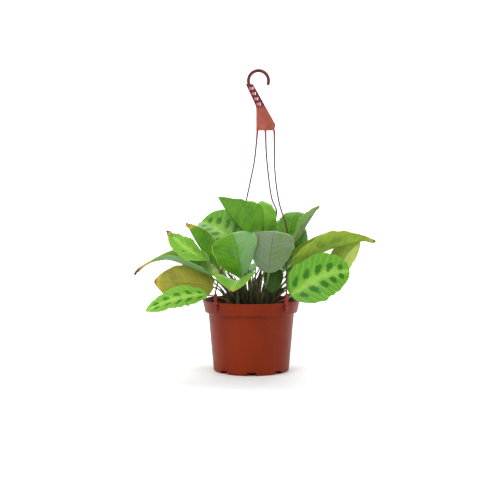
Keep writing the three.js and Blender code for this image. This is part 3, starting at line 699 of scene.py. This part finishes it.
def blade_paint(leaf, s, v, phase, full):
    """Marks of a leaf. Blotches are ellipses between the side veins, a third of the way out; scorch grows
    to the tip and the edge; silver goes from the left half's share to the right half's by a smooth
    step."""
    beat = (phase * BLOTCH_PAIRS) % 1.0
    place = BLOTCH_PLACE - BLOTCH_CLOSING * s
    ellipse = ((np.abs(v) - place) / BLOTCH_HALF_ACROSS) ** 2 + ((beat - 0.5) / BLOTCH_HALF_ALONG) ** 2
    inside = smooth(s, 0.04, 0.14) * smooth(s, 0.97, 0.85)  # no blotches at the base and the tip
    blotch = (1.0 - 0.8 * ellipse).clip(-0.3, 1) * inside * leaf["blotch"]
    tip = smooth(s, 1.0 - 0.2 * leaf["scorch"], 1.02)
    edge = smooth(np.abs(v), 0.92, 1.0) * smooth(s, 0.3, 0.8)
    scorch = (tip + edge) * leaf["scorch"]
    silver = leaf["silver"][0] + (leaf["silver"][1] - leaf["silver"][0]) * smooth(v, -0.35, 0.35)
    return np.stack([blotch, scorch, silver], axis=-1)


def build_blade(leaf, settings, materials):
    """A closed leaf: two skins stand off the middle surface by half the thickness and meet at the margin;
    the lower skin also carries the midrib's ridge, a bell curve that fades to the tip."""
    rows, columns = settings.rows, settings.columns
    points, normal, s, v, phase, full = blade_surface(leaf, rows, columns, settings.ripple)
    inner = (1 - np.abs(v) ** 8) * np.sin(math.pi * s.clip(0.001, 0.999)) ** 0.2
    inner[0] = 0
    inner[-1] = 0
    half = settings.thickness / 2
    wide = leaf["width"] * MM / 2 * np.maximum(full, 0.05)
    ridge = settings.midrib * (1 - 0.8 * s) * np.exp(-((v * wide / settings.midrib) ** 2))
    upper = points + normal * (half * inner - 0.4 * ridge * inner)[..., None]
    lower = points - normal * (half * inner + ridge * inner)[..., None]
    count = columns + 1
    index = np.arange((rows + 1) * count).reshape(rows + 1, count)
    below = index + index.size
    below[:, 0], below[:, -1] = index[:, 0], index[:, -1]
    below[0], below[-1] = index[0], index[-1]
    top = grid_faces(index, wrap=False)
    bottom = grid_faces(below, wrap=False)[:, ::-1]
    sense = np.cross(points[1:, 1:] - points[:-1, :-1], points[1:, :-1] - points[:-1, 1:])
    outward = (sense * normal[:-1, :-1]).sum() > 0
    quads = np.concatenate([top, bottom])
    quads = quads if outward else quads[:, ::-1]
    marks = np.stack([v, s, phase], axis=-1)
    paint = blade_paint(leaf, s, v, phase, full)
    uv = np.stack([(v + 1) / 2, s], axis=-1)
    return make_mesh(
        "leaf_" + leaf["name"] + "_blade",
        np.concatenate([upper.reshape(-1, 3), lower.reshape(-1, 3)]),
        quads,
        materials,
        np.repeat([0, 1], [len(top), len(bottom)]),
        np.concatenate([uv.reshape(-1, 2)] * 2),
        {
            "blade": np.concatenate([marks.reshape(-1, 3)] * 2),
            "marks": np.concatenate([paint.reshape(-1, 3)] * 2),
        },
    )


def stalk_path(leaf, soil_top, t):
    """Straight up out of the soil, then over and into the back of its blade: a cubic Bezier."""
    spine = spine_points(leaf)
    along = unit(bezier_slope(spine, np.array([0.0])))[0]
    root = np.array([*(np.array(leaf["root"]) * MM), soil_top - ROOT_DEPTH])
    end = spine[0]
    reach = np.linalg.norm(end - root)
    control = [root, root + [0, 0, 0.45 * reach], end - along * 0.35 * reach, end]
    return bezier(control, t), reach


HOOK_FROM = 0.92  # how far along a rolled end its hook starts
# Rolled ends of leaves: where the roll starts along the blade, its radii and how far its end hooks over,
# in mm.
ROLLED_TIPS = {
    "left_long": (0.62, (0.6, 1.7, 1.9, 1.6, 1.8, 2.6, 2.2), 4.0),
    "left_high": (0.93, (0.8, 2.0, 3.0, 2.4), 4.0),
    "left_thin": (0.86, (1.2, 2.0, 3.6, 4.6, 3.4), 3.0),
    "right_long": (0.9, (1.0, 2.2, 2.6, 3.2, 2.6), 2.0),
    "right_rolled": (0.93, (0.8, 1.6, 2.6, 1.8), 3.0),
}


# ---- Settings ---------------------------------------------------------------------------------
class PotSettings(bpy.types.PropertyGroup):
    colour: bpy.props.StringProperty(
        name="Plastic", description="sRGB hex of the pot's plastic", default="#7e2808")
    wall: bpy.props.FloatProperty(
        name="Wall", description="Thickness of the pot's wall", default=1.5 * MM, unit="LENGTH")
    segments: bpy.props.IntProperty(name="Segments", description="Steps round the pot", default=192, min=32)


class SoilSettings(bpy.types.PropertyGroup):
    lumps: bpy.props.IntProperty(name="Lumps", description="Loose crumbs on the soil", default=260, min=0)
    relief: bpy.props.FloatProperty(
        name="Relief", description="Height of the soil's clumps", default=2.2 * MM, unit="LENGTH")


class LeafSettings(bpy.types.PropertyGroup):
    rows: bpy.props.IntProperty(name="Rows", description="Steps along a blade", default=88, min=12)
    columns: bpy.props.IntProperty(name="Columns", description="Steps across a blade", default=48, min=8)
    thickness: bpy.props.FloatProperty(
        name="Thickness", description="Thickness of a blade", default=0.5 * MM, unit="LENGTH")
    midrib: bpy.props.FloatProperty(
        name="Midrib", description="Height of the midrib under the blade", default=0.9 * MM, unit="LENGTH")
    ripple: bpy.props.FloatProperty(name="Ripple", description="Free ripple of the edges", default=0.8, min=0)


class StalkSettings(bpy.types.PropertyGroup):
    radius: bpy.props.FloatProperty(
        name="Radius", description="Radius of a stalk at its middle", default=1.35 * MM, unit="LENGTH")
    sheath: bpy.props.FloatProperty(
        name="Sheath", description="Radius of the sheath near the soil", default=2.9 * MM, unit="LENGTH")
    sheaths: bpy.props.IntProperty(
        name="Old sheaths", description="Old sheaths in the clump", default=110, min=1)


class HangerSettings(bpy.types.PropertyGroup):
    radius: bpy.props.FloatProperty(
        name="Strand radius", description="Radius of a strand", default=1.15 * MM, unit="LENGTH")
    colour: bpy.props.StringProperty(name="Plastic", description="sRGB hex of the hanger", default="#3c1e1e")


class StageSettings(bpy.types.PropertyGroup):
    floor: bpy.props.FloatProperty(name="Floor", description="Width of the floor", default=6.4, unit="LENGTH")
    wall: bpy.props.FloatProperty(name="Wall", description="Height of the sweep", default=2.6, unit="LENGTH")
    key: bpy.props.FloatProperty(
        name="Key light", description="Power of the main light", default=26.0, unit="POWER")


# ---- Operators --------------------------------------------------------------------------------
def place(piece, nodes, slot):
    """Rides on the plant and stands for its CAD nodes; its slot is not used."""
    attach(piece, "root")
    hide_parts(*nodes)


def divided(profile, longest):
    """The profile with points added by straight interpolation, so that no stretch is longer than the
    given length."""
    length = np.concatenate([[0], np.cumsum(np.linalg.norm(np.diff(profile, axis=0), axis=1))])
    extra = np.linspace(0, length[-1], int(length[-1] / longest))
    places = np.unique(np.concatenate([length, extra]))
    return np.stack([np.interp(places, length, profile[:, i]) for i in (0, 1)], axis=-1)


def value_noise(x, y, random, cell):
    """Noise: random heights at the corners of square cells, blended between them by a smooth step."""
    table = random.uniform(-1, 1, (64, 64))
    gx, gy = x / cell + 100, y / cell + 100
    ix, iy = np.floor(gx).astype(int), np.floor(gy).astype(int)
    fx, fy = smooth(gx - ix, 0, 1), smooth(gy - iy, 0, 1)

    def row(step):
        left, right = (table[(ix + i) % 64, (iy + step) % 64] for i in (0, 1))
        return left * (1 - fx) + right * fx

    return row(0) * (1 - fy) + row(1) * fy


# The pot's profile: radii of the foot's inner edge and ring, of the body's foot and top and of the band's
# lower edge, the height of the band's foot, and the inside of its base.
RECESS = 1.8 * MM
FOOT_INNER, FOOT_RING, FOOT_BEVEL = 15.8 * MM, 44.2 * MM, 2.5 * MM
BODY_FOOT, BODY_TOP, BAND_BOTTOM = 58.5 * MM, 66.5 * MM, 71.5 * MM
BAND_FOOT, BAND_RISE, BASE_INSIDE = 89.8 * MM, 1.2 * MM, 3.3 * MM
POT_ROUNDS = np.array([0.3, 0.5, 0.5, 0.3, 0.4, 1.2, 1.0, 0.9, 0.72, 0.72, 1.2, 1.5, 2.0]) * MM
PROFILE_STEP = 4 * MM
NOTCH_COUNT, NOTCH_WIDTH, NOTCH_HEIGHT = 8, 13 * MM, 5 * MM  # drain openings
NOTCH_FROM = 46.2 * MM  # radius where an opening starts
NOTCH_EDGE = 0.006  # radians from an opening's side to the plain wall


class PLANT_OT_pot(bpy.types.Operator):
    """Builds the pot: a lathe profile with a rounded lip and a band, and drain openings cut into the
    foot"""

    bl_idname = "plant.build_pot"
    bl_label = "Pot"

    def execute(self, context):
        settings = context.scene.plant_pot
        wall = settings.wall
        outer = [
            [0, 0], [FOOT_INNER - RECESS, 0], [FOOT_INNER, RECESS], [FOOT_RING, RECESS],
            [FOOT_RING + RECESS, 0], [BODY_FOOT - FOOT_BEVEL, 0], [BODY_FOOT, 1.5 * MM],
            [BODY_TOP, BAND_FOOT], [BAND_BOTTOM, BAND_FOOT + BAND_RISE], [RIM_RADIUS, POT_TOP],
        ]
        inner = [
            [RIM_RADIUS - wall, POT_TOP], [BAND_BOTTOM - wall, BAND_FOOT + 2 * BAND_RISE],
            [BODY_TOP - wall, BAND_FOOT + BAND_RISE], [BODY_FOOT - wall, BASE_INSIDE], [0, BASE_INSIDE],
        ]
        profile = divided(rounded([*outer, *inner], POT_ROUNDS, 5), PROFILE_STEP)
        half = np.arcsin(NOTCH_WIDTH / 2 / BODY_FOOT)
        even = np.linspace(0, 2 * math.pi, settings.segments, endpoint=False)
        spread = 2 * math.pi / NOTCH_COUNT
        middles = math.pi / 2 + np.arange(NOTCH_COUNT) * spread
        sides = np.array([-half - NOTCH_EDGE, -half, half, half + NOTCH_EDGE])
        edges = (middles[:, None] + sides).ravel() % (2 * math.pi)
        turns = np.unique(np.round(np.concatenate([even, edges]), 6))

        def notched(radius, height, angle):
            away = np.abs((angle - math.pi / 2 + spread / 2) % spread - spread / 2)
            inside = smooth(away, half + NOTCH_EDGE, half) * smooth(radius, NOTCH_FROM, NOTCH_FROM + 0.8 * MM)
            outside = np.arange(len(radius))[:, None] < np.argmax(profile[:, 1])
            raised = np.where(outside, NOTCH_HEIGHT, NOTCH_HEIGHT + wall)
            return radius, height + (raised - height).clip(0) * inside

        points, quads = lathe(profile, turns, notched)
        pot = make_mesh("pot_shell", points, quads, [pot_plastic(settings.colour)])
        place(pot, ["pot"], "pot_plastic")
        return {"FINISHED"}


SOIL_RINGS = 90
SOIL_CLUMPS = ((14, 0.5), (5, 0.35), (2, 0.3))  # size in mm and share of each kind of clump
LATITUDES, LONGITUDES = 6, 7  # of a crumb


class PLANT_OT_soil(bpy.types.Operator):
    """Builds the soil: a disc raised by three sizes of noise over a plug that fills the pot, and loose
    crumbs"""

    bl_idname = "plant.build_soil"
    bl_label = "Soil"

    def execute(self, context):
        settings = context.scene.plant_soil
        random = np.random.default_rng(SEED)
        low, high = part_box("potting_soil")
        top = high.z - SOIL_BELOW_BOX
        reach = high.x - 0.4 * MM
        base = low.z - top + 1 * MM
        under = [reach - 0.3 * MM, 60.5 * MM, 56 * MM, 0.0]
        rings = np.concatenate([np.linspace(0, reach, SOIL_RINGS), under])
        heights = np.concatenate([np.zeros(SOIL_RINGS), [-4 * MM, -8 * MM, base, base]])
        profile = np.stack([rings, heights + top], axis=-1)
        angle = np.linspace(0, 2 * math.pi, 240, endpoint=False)

        def rough(radius, height, turn):
            x, y = radius * np.cos(turn), radius * np.sin(turn)
            bumps = sum(value_noise(x, y, random, cell * MM) * share for cell, share in SOIL_CLUMPS)
            surface = (np.arange(len(radius)) < SOIL_RINGS)[:, None]
            crown = 1.5 * MM * (1 - (radius / reach) ** 2)
            return radius, height + surface * (bumps * settings.relief * 0.6 + crown - 0.6 * MM)

        def downwards(radius, height, turn):
            return [grid[::-1] for grid in rough(radius[::-1], height[::-1], turn)]

        points, quads = lathe(profile[::-1], angle, downwards)
        material = peat()
        soil = make_mesh("soil_plug", points, quads, [material])
        place(soil, ["potting_soil"], "potting_soil")
        crumbs = self.crumbs(settings, random, top, reach)
        place(make_mesh("soil_crumbs", *crumbs, [material]), [], "potting_soil")
        return {"FINISHED"}

    def crumbs(self, settings, random, top, reach):
        """Crumbs: coarse spheres, stretched and dented at random, scattered evenly over the disc."""
        count = settings.lumps
        lat = np.linspace(0, math.pi, LATITUDES)[:, None]
        lon = np.linspace(0, 2 * math.pi, LONGITUDES, endpoint=False)
        round_about = [np.sin(lat) * np.cos(lon), np.sin(lat) * np.sin(lon), np.cos(lat) + 0 * lon]
        ball = np.stack(round_about, axis=-1)
        spread = np.sqrt(random.uniform(0, 1, count)) * (reach - 4 * MM)
        turn = random.uniform(0, 2 * math.pi, count)
        size = random.uniform(0.7, 2.4, (count, 1, 1, 3)) * MM * [1.0, 1.0, 0.6]
        dent = 1 + random.uniform(-0.25, 0.25, (count, *ball.shape[:2], 1))
        dent[:, 0] = dent[:, :1].mean(axis=2)
        dent[:, -1] = dent[:, -1:].mean(axis=2)
        height = np.full(count, top + 1.0 * MM)
        centre = np.stack([spread * np.cos(turn), spread * np.sin(turn), height], axis=-1)
        points = ball * size * dent + centre[:, None, None]
        one = np.arange(LATITUDES * LONGITUDES).reshape(LATITUDES, LONGITUDES)
        one[0], one[-1] = one[0, 0], one[-1, 0]
        offsets = (np.arange(count) * one.size)[:, None, None]
        return points, (grid_faces(one, wrap=True)[:, ::-1] + offsets).reshape(-1, 4)


class PLANT_OT_leaves(bpy.types.Operator):
    """Builds every leaf blade from its row: a curved surface with two skins, veins, ripples and its own
    marks"""

    bl_idname = "plant.build_leaves"
    bl_label = "Leaves"

    def execute(self, context):
        settings = context.scene.plant_leaves
        skins = {
            name: [upper_skin("leaf_upper_" + name, *upper), under_skin("leaf_under_" + name, *under)]
            for name, (upper, under) in LEAF_SKINS.items()
        }
        for leaf in LEAVES:
            blade = build_blade(leaf, settings, skins[leaf["skin"]])
            place(blade, ["leaf_" + leaf["name"]], "leaf_" + leaf["tint"])
        dry = dry_leaf()
        for leaf in LEAVES:
            if leaf["name"] in ROLLED_TIPS:
                tip = self.rolled_tip(leaf, *ROLLED_TIPS[leaf["name"]], dry)
                place(tip, [], "leaf_" + leaf["tint"])
        return {"FINISHED"}

    def rolled_tip(self, leaf, start, radii, hook, material):
        """A leaf's rolled end: a tube on the midrib from a given place on, with a hook bent down at its
        end and a radius taken smoothly from a short list."""
        t = np.linspace(0, 1, 40)
        spine = spine_points(leaf)
        path = bezier(spine, start + (1 - start) * (t / HOOK_FROM).clip(0, 1))
        beyond = ((t - HOOK_FROM) / (1 - HOOK_FROM)).clip(0, 1)[:, None]
        path = path + (unit(spine[-1] - spine[-2]) * 0.5 + [0, 0, -0.6]) * beyond * hook * MM
        width = np.interp(t, np.linspace(0, 1, len(radii)), radii) * MM
        crease = 1 + 0.12 * wobble(t, np.random.default_rng([SEED, len(leaf["name"])]), 9, 0.3)
        points, quads = tube(path, width * crease, 16, 0.8)
        name = "leaf_" + leaf["name"] + "_rolled_tip"
        return make_mesh(name, points, quads, [material], uv=tube_map(16, t))


class PLANT_OT_stalks(bpy.types.Operator):
    """Builds every stalk: a tapering tube, wide and flattened in its sheath and swollen at the joint to
    its blade"""

    bl_idname = "plant.build_stalks"
    bl_label = "Stalks"

    def execute(self, context):
        settings = context.scene.plant_stalks
        soil_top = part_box("potting_soil")[1].z - SOIL_BELOW_BOX
        material = stalk_skin()
        for number, leaf in enumerate(LEAVES):
            random = np.random.default_rng([SEED, number])
            t = np.linspace(0, 1, 48)
            path, reach = stalk_path(leaf, soil_top, t)
            sheath_end = random.uniform(0.35, 0.6)
            swell = 0.75 + 0.25 * np.sin(math.pi * t / sheath_end)
            sheath = smooth(t, sheath_end, sheath_end - 0.12) * swell
            joint = np.exp(-(((1 - t) * reach / (5 * MM)) ** 2))
            radii = settings.radius * (1.05 - 0.2 * t) + (settings.sheath - settings.radius) * sheath
            radii = radii + 0.4 * MM * joint
            radii[-1] *= 0.6
            points, quads = tube(path, radii, 14, 1 - 0.35 * sheath)
            stalk = make_mesh("stalk_" + leaf["name"] + "_rod", points, quads, [material], uv=tube_map(14, t))
            place(stalk, ["stalk_" + leaf["name"]], "stalk")
        place(self.sheaths(settings, soil_top, material), [], "stalk")
        return {"FINISHED"}

    def sheaths(self, settings, soil_top, material):
        """Old sheaths and cut stalks: short tubes from random places in the clump, each on a quadratic
        Bezier that starts upright and leans outward, with a blunt torn end."""
        random = np.random.default_rng(SEED + 1)
        sides, count = 10, settings.sheaths
        t = np.linspace(0, 1, 14)
        turn = random.uniform(0, 2 * math.pi, count)
        spread = np.sqrt(random.uniform(0.02, 1, count)) * 38 * MM
        height = random.uniform(28, 74, count) * (1.15 - spread / (90 * MM)) * MM
        lean = random.uniform(0.1, 0.9, count) * height * (0.3 + spread / (50 * MM))
        parts = []
        for angle, out, tall, reach in zip(turn, spread, height, lean):
            way = np.array([math.cos(angle), math.sin(angle), 0])
            root = way * out + [0, 0, soil_top - 5 * MM]
            path = bezier([root, root + [0, 0, 0.6 * tall], root + way * reach + [0, 0, tall]], t)
            taper = 1.0 - 0.55 * t + 0.06 * np.sin(9 * t + angle)
            radii = random.uniform(0.6, 1.0) * settings.sheath * taper
            points, quads = tube(path, radii, sides, random.uniform(0.5, 0.8))
            # Tones kept low, so the old sheaths stay dark: their dead brown tissue, darkened further as
            # painted shade inside the clump.
            tone = 0.1 + t * random.uniform(0.2, 0.75)
            tone_map = tube_map(sides, tone)
            tone_map[0, :, 1], tone_map[-1, :, 1] = 0, 0.1  # dark in the soil and at the torn end
            parts.append((points, quads + len(parts) * len(points), tone_map.reshape(-1, 2)))
        points, quads, uv = (np.concatenate(arrays) for arrays in zip(*parts))
        return make_mesh("old_sheaths", points, quads, [material], uv=uv)


# ---- Hanger -----------------------------------------------------------------------------------
# Each strand: the angle of its clip round the rim, where it leaves the plate (share of its half width),
# and the points it passes on the way down, [x, y, height above the rim] in mm.
STRANDS = [
    {
        "name": "left", "angle": 226, "start": -0.86,
        "points": [[5, 12, 215], [-3, 26, 175], [-8, 31, 148], [-9, 7, 104], [-20, -12, 84], [-44, -36, 48]],
    },
    {
        "name": "back", "angle": 90, "start": -0.05,
        "points": [[24, 6, 215], [31, 18, 160], [40, 38, 132], [29, 60, 98], [20, 80, 56]],
    },
    {
        "name": "right", "angle": 313, "start": 0.86,
        "points": [[36, -6, 200], [42, -26, 150], [54, -30, 108], [53, -34, 70], [53, -48, 34]],
    },
]
PLATE_CENTRE_X, PLATE_Y, PLATE_BOTTOM, PLATE_WIDTH = 22.5 * MM, 4 * MM, POT_TOP + 260 * MM, 30 * MM
SHANK_LEAN = math.radians(25)
WINDOW_COUNT, WINDOW_PITCH = 4, 8 * MM
WINDOW_X, WINDOW_TOP = -1.1 * MM, POT_TOP + 324.6 * MM  # middle of the top window
WEB_HALF_WIDTH, WEB_HALF_HEIGHT, WEB_HALF_DEPTH = 3.4 * MM, 2.6 * MM, 0.3 * MM
DARK_PLATE_FROM, DARK_STRAND_FROM = POT_TOP + 290 * MM, POT_TOP + 236 * MM  # heights
CLIP_TOP, CLIP_BOTTOM, CLIP_TAPER = 17 * MM, -13 * MM, 9 * MM  # heights above the rim, taper's start last
CLIP_STEPS, RIB_PITCH, CLIP_OUT = 120, 6.2 * MM, 1.3 * MM
SECTION_SIDES = 24


def strand_path(strand, steps):
    """A Catmull-Rom curve through the strand's points, from the plate's lower edge to the top of its
    clip."""
    turn = math.radians(strand["angle"])
    head = [PLATE_CENTRE_X + strand["start"] * PLATE_WIDTH / 2, PLATE_Y, PLATE_BOTTOM + 1 * MM]
    out = RIM_RADIUS + CLIP_OUT
    foot = [out * math.cos(turn), out * math.sin(turn), POT_TOP + CLIP_TOP]
    middle = np.array(strand["points"], float) * MM + [0, 0, POT_TOP]
    points = np.concatenate([[head], middle, [foot]])
    points = np.concatenate([[2 * points[0] - points[1]], points, [2 * points[-1] - points[-2]]])
    pieces = len(points) - 3
    t = np.linspace(0, pieces, steps).clip(0, pieces - 1e-9)
    k = t.astype(int)
    f = (t - k)[:, None]
    a, b, c, d = (points[k + i] for i in range(4))
    return 0.5 * (2 * b + (c - a) * f + (2 * a - 5 * b + 4 * c - d) * f**2 + (3 * b - a - 3 * c + d) * f**3)


def bevelled_copy(node, name, material, width):
    """A copy of a CAD node, its doubles merged, with its edges rounded by a Bevel modifier."""
    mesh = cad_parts[node].data.copy()
    mesh.name = name
    copy = bpy.data.objects.new(name, mesh)
    bpy.context.scene.collection.objects.link(copy)
    merge = copy.modifiers.new("merge", "WELD")
    merge.merge_threshold = 1e-6
    bevel = copy.modifiers.new("soft edges", "BEVEL")
    bevel.width = width
    bevel.segments = 3
    bevel.angle_limit = math.radians(40)
    bevel.harden_normals = True
    mesh.materials.clear()
    mesh.materials.append(material)
    mesh.polygons.foreach_set("use_smooth", np.ones(len(mesh.polygons), bool))
    return copy


class PLANT_OT_hook(bpy.types.Operator):
    """Builds the hanger's plate and hook with rounded edges, and the thin webs in the shank's windows"""

    bl_idname = "plant.build_hook"
    bl_label = "Hanger hook"

    def execute(self, context):
        skin = hanger_plastic("moulded_polypropylene_plate", "#93483a", "#a85a4a", "#5c2626", DARK_PLATE_FROM)
        plate = bevelled_copy("hanger_hook", "hanger_plate", skin, 0.45 * MM)
        place(plate, ["hanger_hook"], "hanger_plastic")
        place(self.webs(hanger_plastic("thin_polypropylene_web", "#b9666a", "#c87880")), [], "hanger_plastic")
        return {"FINISHED"}

    def webs(self, material):
        """The webs: a flat box in each window, a little larger than it and a quarter as thick as the
        plate."""
        middle = WINDOW_TOP - np.arange(WINDOW_COUNT) * WINDOW_PITCH
        centre = WINDOW_X + np.arange(WINDOW_COUNT) * WINDOW_PITCH * math.tan(SHANK_LEAN)
        corner = np.array([[-1, -1], [1, -1], [1, 1], [-1, 1]]) * [WEB_HALF_WIDTH, WEB_HALF_HEIGHT]
        depth = np.array([0, 1, 1, -1, -1, 0]) * WEB_HALF_DEPTH
        grow = np.array([0, 1, 1, 1, 1, 0])
        x = centre[:, None, None] + grow[:, None] * corner[:, 0]
        z = middle[:, None, None] + grow[:, None] * corner[:, 1]
        points = np.stack(np.broadcast_arrays(x, PLATE_Y + depth[:, None], z), axis=-1)
        one = np.arange(grow.size * 4).reshape(-1, 4)
        one[0], one[-1] = one[0, 0], one[-1, 0]
        quads = grid_faces(one, wrap=True) + one.size * np.arange(WINDOW_COUNT)[:, None, None]
        webs = make_mesh("hanger_window_webs", points, quads.reshape(-1, 4), [material])
        webs.data.polygons.foreach_set("use_smooth", np.zeros(len(webs.data.polygons), bool))
        return webs


class PLANT_OT_strands(bpy.types.Operator):
    """Builds the three strands as round tubes along their routes, each with its ribbed clip over the rim"""

    bl_idname = "plant.build_strands"
    bl_label = "Hanger strands"

    def execute(self, context):
        settings = context.scene.plant_hanger
        name = "drawn_polypropylene_strand"
        dark = hanger_plastic(name, settings.colour, "#5e2e2e", "#7a3a3c", DARK_STRAND_FROM)
        red = hanger_plastic("moulded_polypropylene_clip", "#6e1a1c", "#8a2a26")
        for strand in STRANDS:
            path = strand_path(strand, 220)
            below = np.linalg.norm(path - path[0], axis=1)
            swell = 0.55 * np.exp(-below / (14 * MM)) + 0.03 * np.sin(below / (2 * MM))
            radii = settings.radius * (1 + swell)
            points, quads = tube(path, radii, 14)
            line = make_mesh("strand_" + strand["name"] + "_line", points, quads, [dark])
            for piece in (line, self.clip(strand, red)):
                place(piece, ["hanger_strand_" + strand["name"]], "hanger_plastic")
        return {"FINISHED"}

    def clip(self, strand, material):
        """A clip: a bar down the rim, wider at each rib by a cosine and tapered at its top, and a hook
        over the rim on a Bezier curve."""
        hook = np.array([[-4.1, -7], [-3.9, 0], [-2.9, 1.4], [-0.6, 1.5]]) * MM  # from the rim's outer edge
        height = np.linspace(CLIP_BOTTOM, CLIP_TOP, CLIP_STEPS)
        ribs = 0.5 + 0.5 * np.cos(2 * math.pi * (height - CLIP_BOTTOM) / RIB_PITCH)
        width = 1.2 * MM + (0.6 * MM + 2.6 * MM * ribs) * smooth(height, CLIP_TOP, CLIP_TAPER)
        points, quads = self.bar(np.full(CLIP_STEPS, CLIP_OUT), height, width, 0.95 * MM)
        over = np.concatenate([bezier(hook, np.linspace(0, 1, 24)), [[CLIP_OUT, 1.0 * MM]]])
        more, faces = self.bar(over[:, 0], over[:, 1], np.full(len(over), 2.4 * MM), 0.8 * MM)
        turn = math.radians(strand["angle"])
        cos, sin = math.cos(turn), math.sin(turn)
        spin = np.array([[cos, sin, 0], [-sin, cos, 0], [0, 0, 1]])
        quads = np.concatenate([quads, faces + len(points)])
        points = np.concatenate([points, more]) @ spin
        return make_mesh("strand_" + strand["name"] + "_clip", points, quads, [material])

    def bar(self, out, height, half_width, half_depth):
        """A bar in the XZ plane, through points given from the rim's outer top edge: its section is the
        superellipse |y/w|^4 + |n/d|^4 = 1."""
        path = np.stack([RIM_RADIUS + out, 0 * out, POT_TOP + height], axis=-1)
        slope = unit(np.gradient(path, axis=0))
        depth = np.stack([-slope[:, 2], np.zeros(len(path)), slope[:, 0]], axis=-1)
        turn = np.linspace(0, 2 * math.pi, SECTION_SIDES, endpoint=False)
        y, n = (np.sign(part) * np.abs(part) ** 0.5 for part in (np.cos(turn), np.sin(turn)))
        ring = path[:, None] + depth[:, None] * (n * half_depth)[:, None]
        ring = ring + np.array([0, 1.0, 0]) * (y[None, :] * half_width[:, None])[..., None]
        return capped(ring, path)


# ---- Stage ------------------------------------------------------------------------------------
CAMERA_PLACE = (-0.002, -1.5, 0.26)
CAMERA_PITCH = -2.82  # degrees, below the horizon
CAMERA_LENS, CAMERA_SENSOR = 70.0, 36.0  # mm
SWEEP = 0.9  # m, radius of the floor's turn up to its wall
UNDER_FOOT = 0.0002  # m, how far the floor lies below the pot's foot


class PLANT_OT_stage(bpy.types.Operator):
    """Sets the pale floor, the soft lights, the world and the camera"""

    bl_idname = "plant.set_stage"
    bl_label = "Stage"

    def execute(self, context):
        settings = context.scene.plant_stage
        self.floor(settings)
        self.light("key", (-0.9, -1.4, 1.8), 1.0, settings.key)
        self.light("fill", (1.5, -1.3, 0.9), 1.8, settings.key * 0.3)
        self.light("back", (0.2, 1.5, 1.7), 1.4, settings.key * 0.6)
        self.light("backdrop", (0.0, 1.2, 2.4), 2.0, settings.key * 2.8, (0, 3.0, 0.6))
        world = bpy.data.worlds.new("studio")
        world.use_nodes = True
        background = world.node_tree.nodes["Background"]
        background.inputs["Color"].default_value = colour("#f7f9fb")
        background.inputs["Strength"].default_value = 0.42
        context.scene.world = world
        camera = bpy.data.objects.new("camera", bpy.data.cameras.new("camera"))
        camera.location = CAMERA_PLACE
        camera.rotation_euler = (math.radians(90 + CAMERA_PITCH), 0, 0)
        camera.data.lens = CAMERA_LENS
        camera.data.sensor_width = CAMERA_SENSOR
        context.scene.collection.objects.link(camera)
        context.scene.camera = camera
        context.scene.view_settings.view_transform = "Standard"
        context.scene.view_settings.look = "None"
        return {"FINISHED"}

    def floor(self, settings):
        """A round sheet that lies flat round the plant and sweeps up at its edge: a lathe profile of a
        straight line, a quarter circle and a wall."""
        reach = settings.floor / 2
        turn = np.linspace(0, math.pi / 2, 20)[1:]
        flat = np.linspace(0, reach - SWEEP, 24)
        radius = np.concatenate([flat, reach - SWEEP + SWEEP * np.sin(turn), [reach]])
        height = np.concatenate([0 * flat, SWEEP - SWEEP * np.cos(turn), [settings.wall]])
        angles = np.linspace(0, 2 * math.pi, 96, endpoint=False)
        points, quads = lathe(np.stack([radius, height - UNDER_FOOT], axis=-1)[::-1], angles)
        material, tree, shader = new_material("matt_paper_floor")
        shade = layered(tree, colour("#fbfbfb"), [("#f5f5f5", grain(tree, 3.0), 0.3, 0.7, 1.0)])
        tree.links.new(shade, shader.inputs["Base Color"])
        shader.inputs["Roughness"].default_value = 0.9
        sheet = make_mesh("floor", points, quads, [material])

    def light(self, name, spot, size, power, target=(0, 0, 0.18)):
        """A square soft light that looks at the plant, or at another target."""
        data = bpy.data.lights.new(name, "AREA")
        data.size = size
        data.energy = power
        lamp = bpy.data.objects.new(name, data)
        lamp.location = spot
        aim = np.array(target) - np.array(spot)
        pitch = math.atan2(math.hypot(aim[0], aim[1]), -aim[2])
        lamp.rotation_euler = (pitch, 0, math.atan2(-aim[0], aim[1]))
        bpy.context.scene.collection.objects.link(lamp)


class PLANT_PT_panel(bpy.types.Panel):
    """Lists the steps that build the potted plant, and their settings"""

    bl_idname = "PLANT_PT_panel"
    bl_label = "Potted Prayer Plant"
    bl_space_type = "VIEW_3D"
    bl_region_type = "UI"
    bl_category = "Plant"

    def draw(self, context):
        layout = self.layout
        for operator in OPERATORS:
            layout.operator(operator.bl_idname)
        for name, group in SETTINGS.items():
            column = layout.column(heading=name)
            for field in group.__annotations__:
                column.prop(getattr(context.scene, name), field)


SETTINGS = {
    "plant_pot": PotSettings,
    "plant_soil": SoilSettings,
    "plant_leaves": LeafSettings,
    "plant_stalks": StalkSettings,
    "plant_hanger": HangerSettings,
    "plant_stage": StageSettings,
}
OPERATORS = (
    PLANT_OT_pot,
    PLANT_OT_soil,
    PLANT_OT_stalks,
    PLANT_OT_leaves,
    PLANT_OT_hook,
    PLANT_OT_strands,
    PLANT_OT_stage,
)
CLASSES = (*SETTINGS.values(), *OPERATORS, PLANT_PT_panel)


def register():
    """Registers every class and hangs the settings on the scene."""
    for each in CLASSES:
        bpy.utils.register_class(each)
    for name, group in SETTINGS.items():
        setattr(bpy.types.Scene, name, bpy.props.PointerProperty(type=group))


def unregister():
    """Takes the settings and classes away again."""
    for name in SETTINGS:
        delattr(bpy.types.Scene, name)
    for each in reversed(CLASSES):
        bpy.utils.unregister_class(each)


def main():
    """Builds every piece in order."""
    register()
    bpy.ops.plant.build_pot()
    bpy.ops.plant.build_soil()
    bpy.ops.plant.build_stalks()
    bpy.ops.plant.build_leaves()
    bpy.ops.plant.build_hook()
    bpy.ops.plant.build_strands()
    bpy.ops.plant.set_stage()


if __name__ == "__main__":
    main()
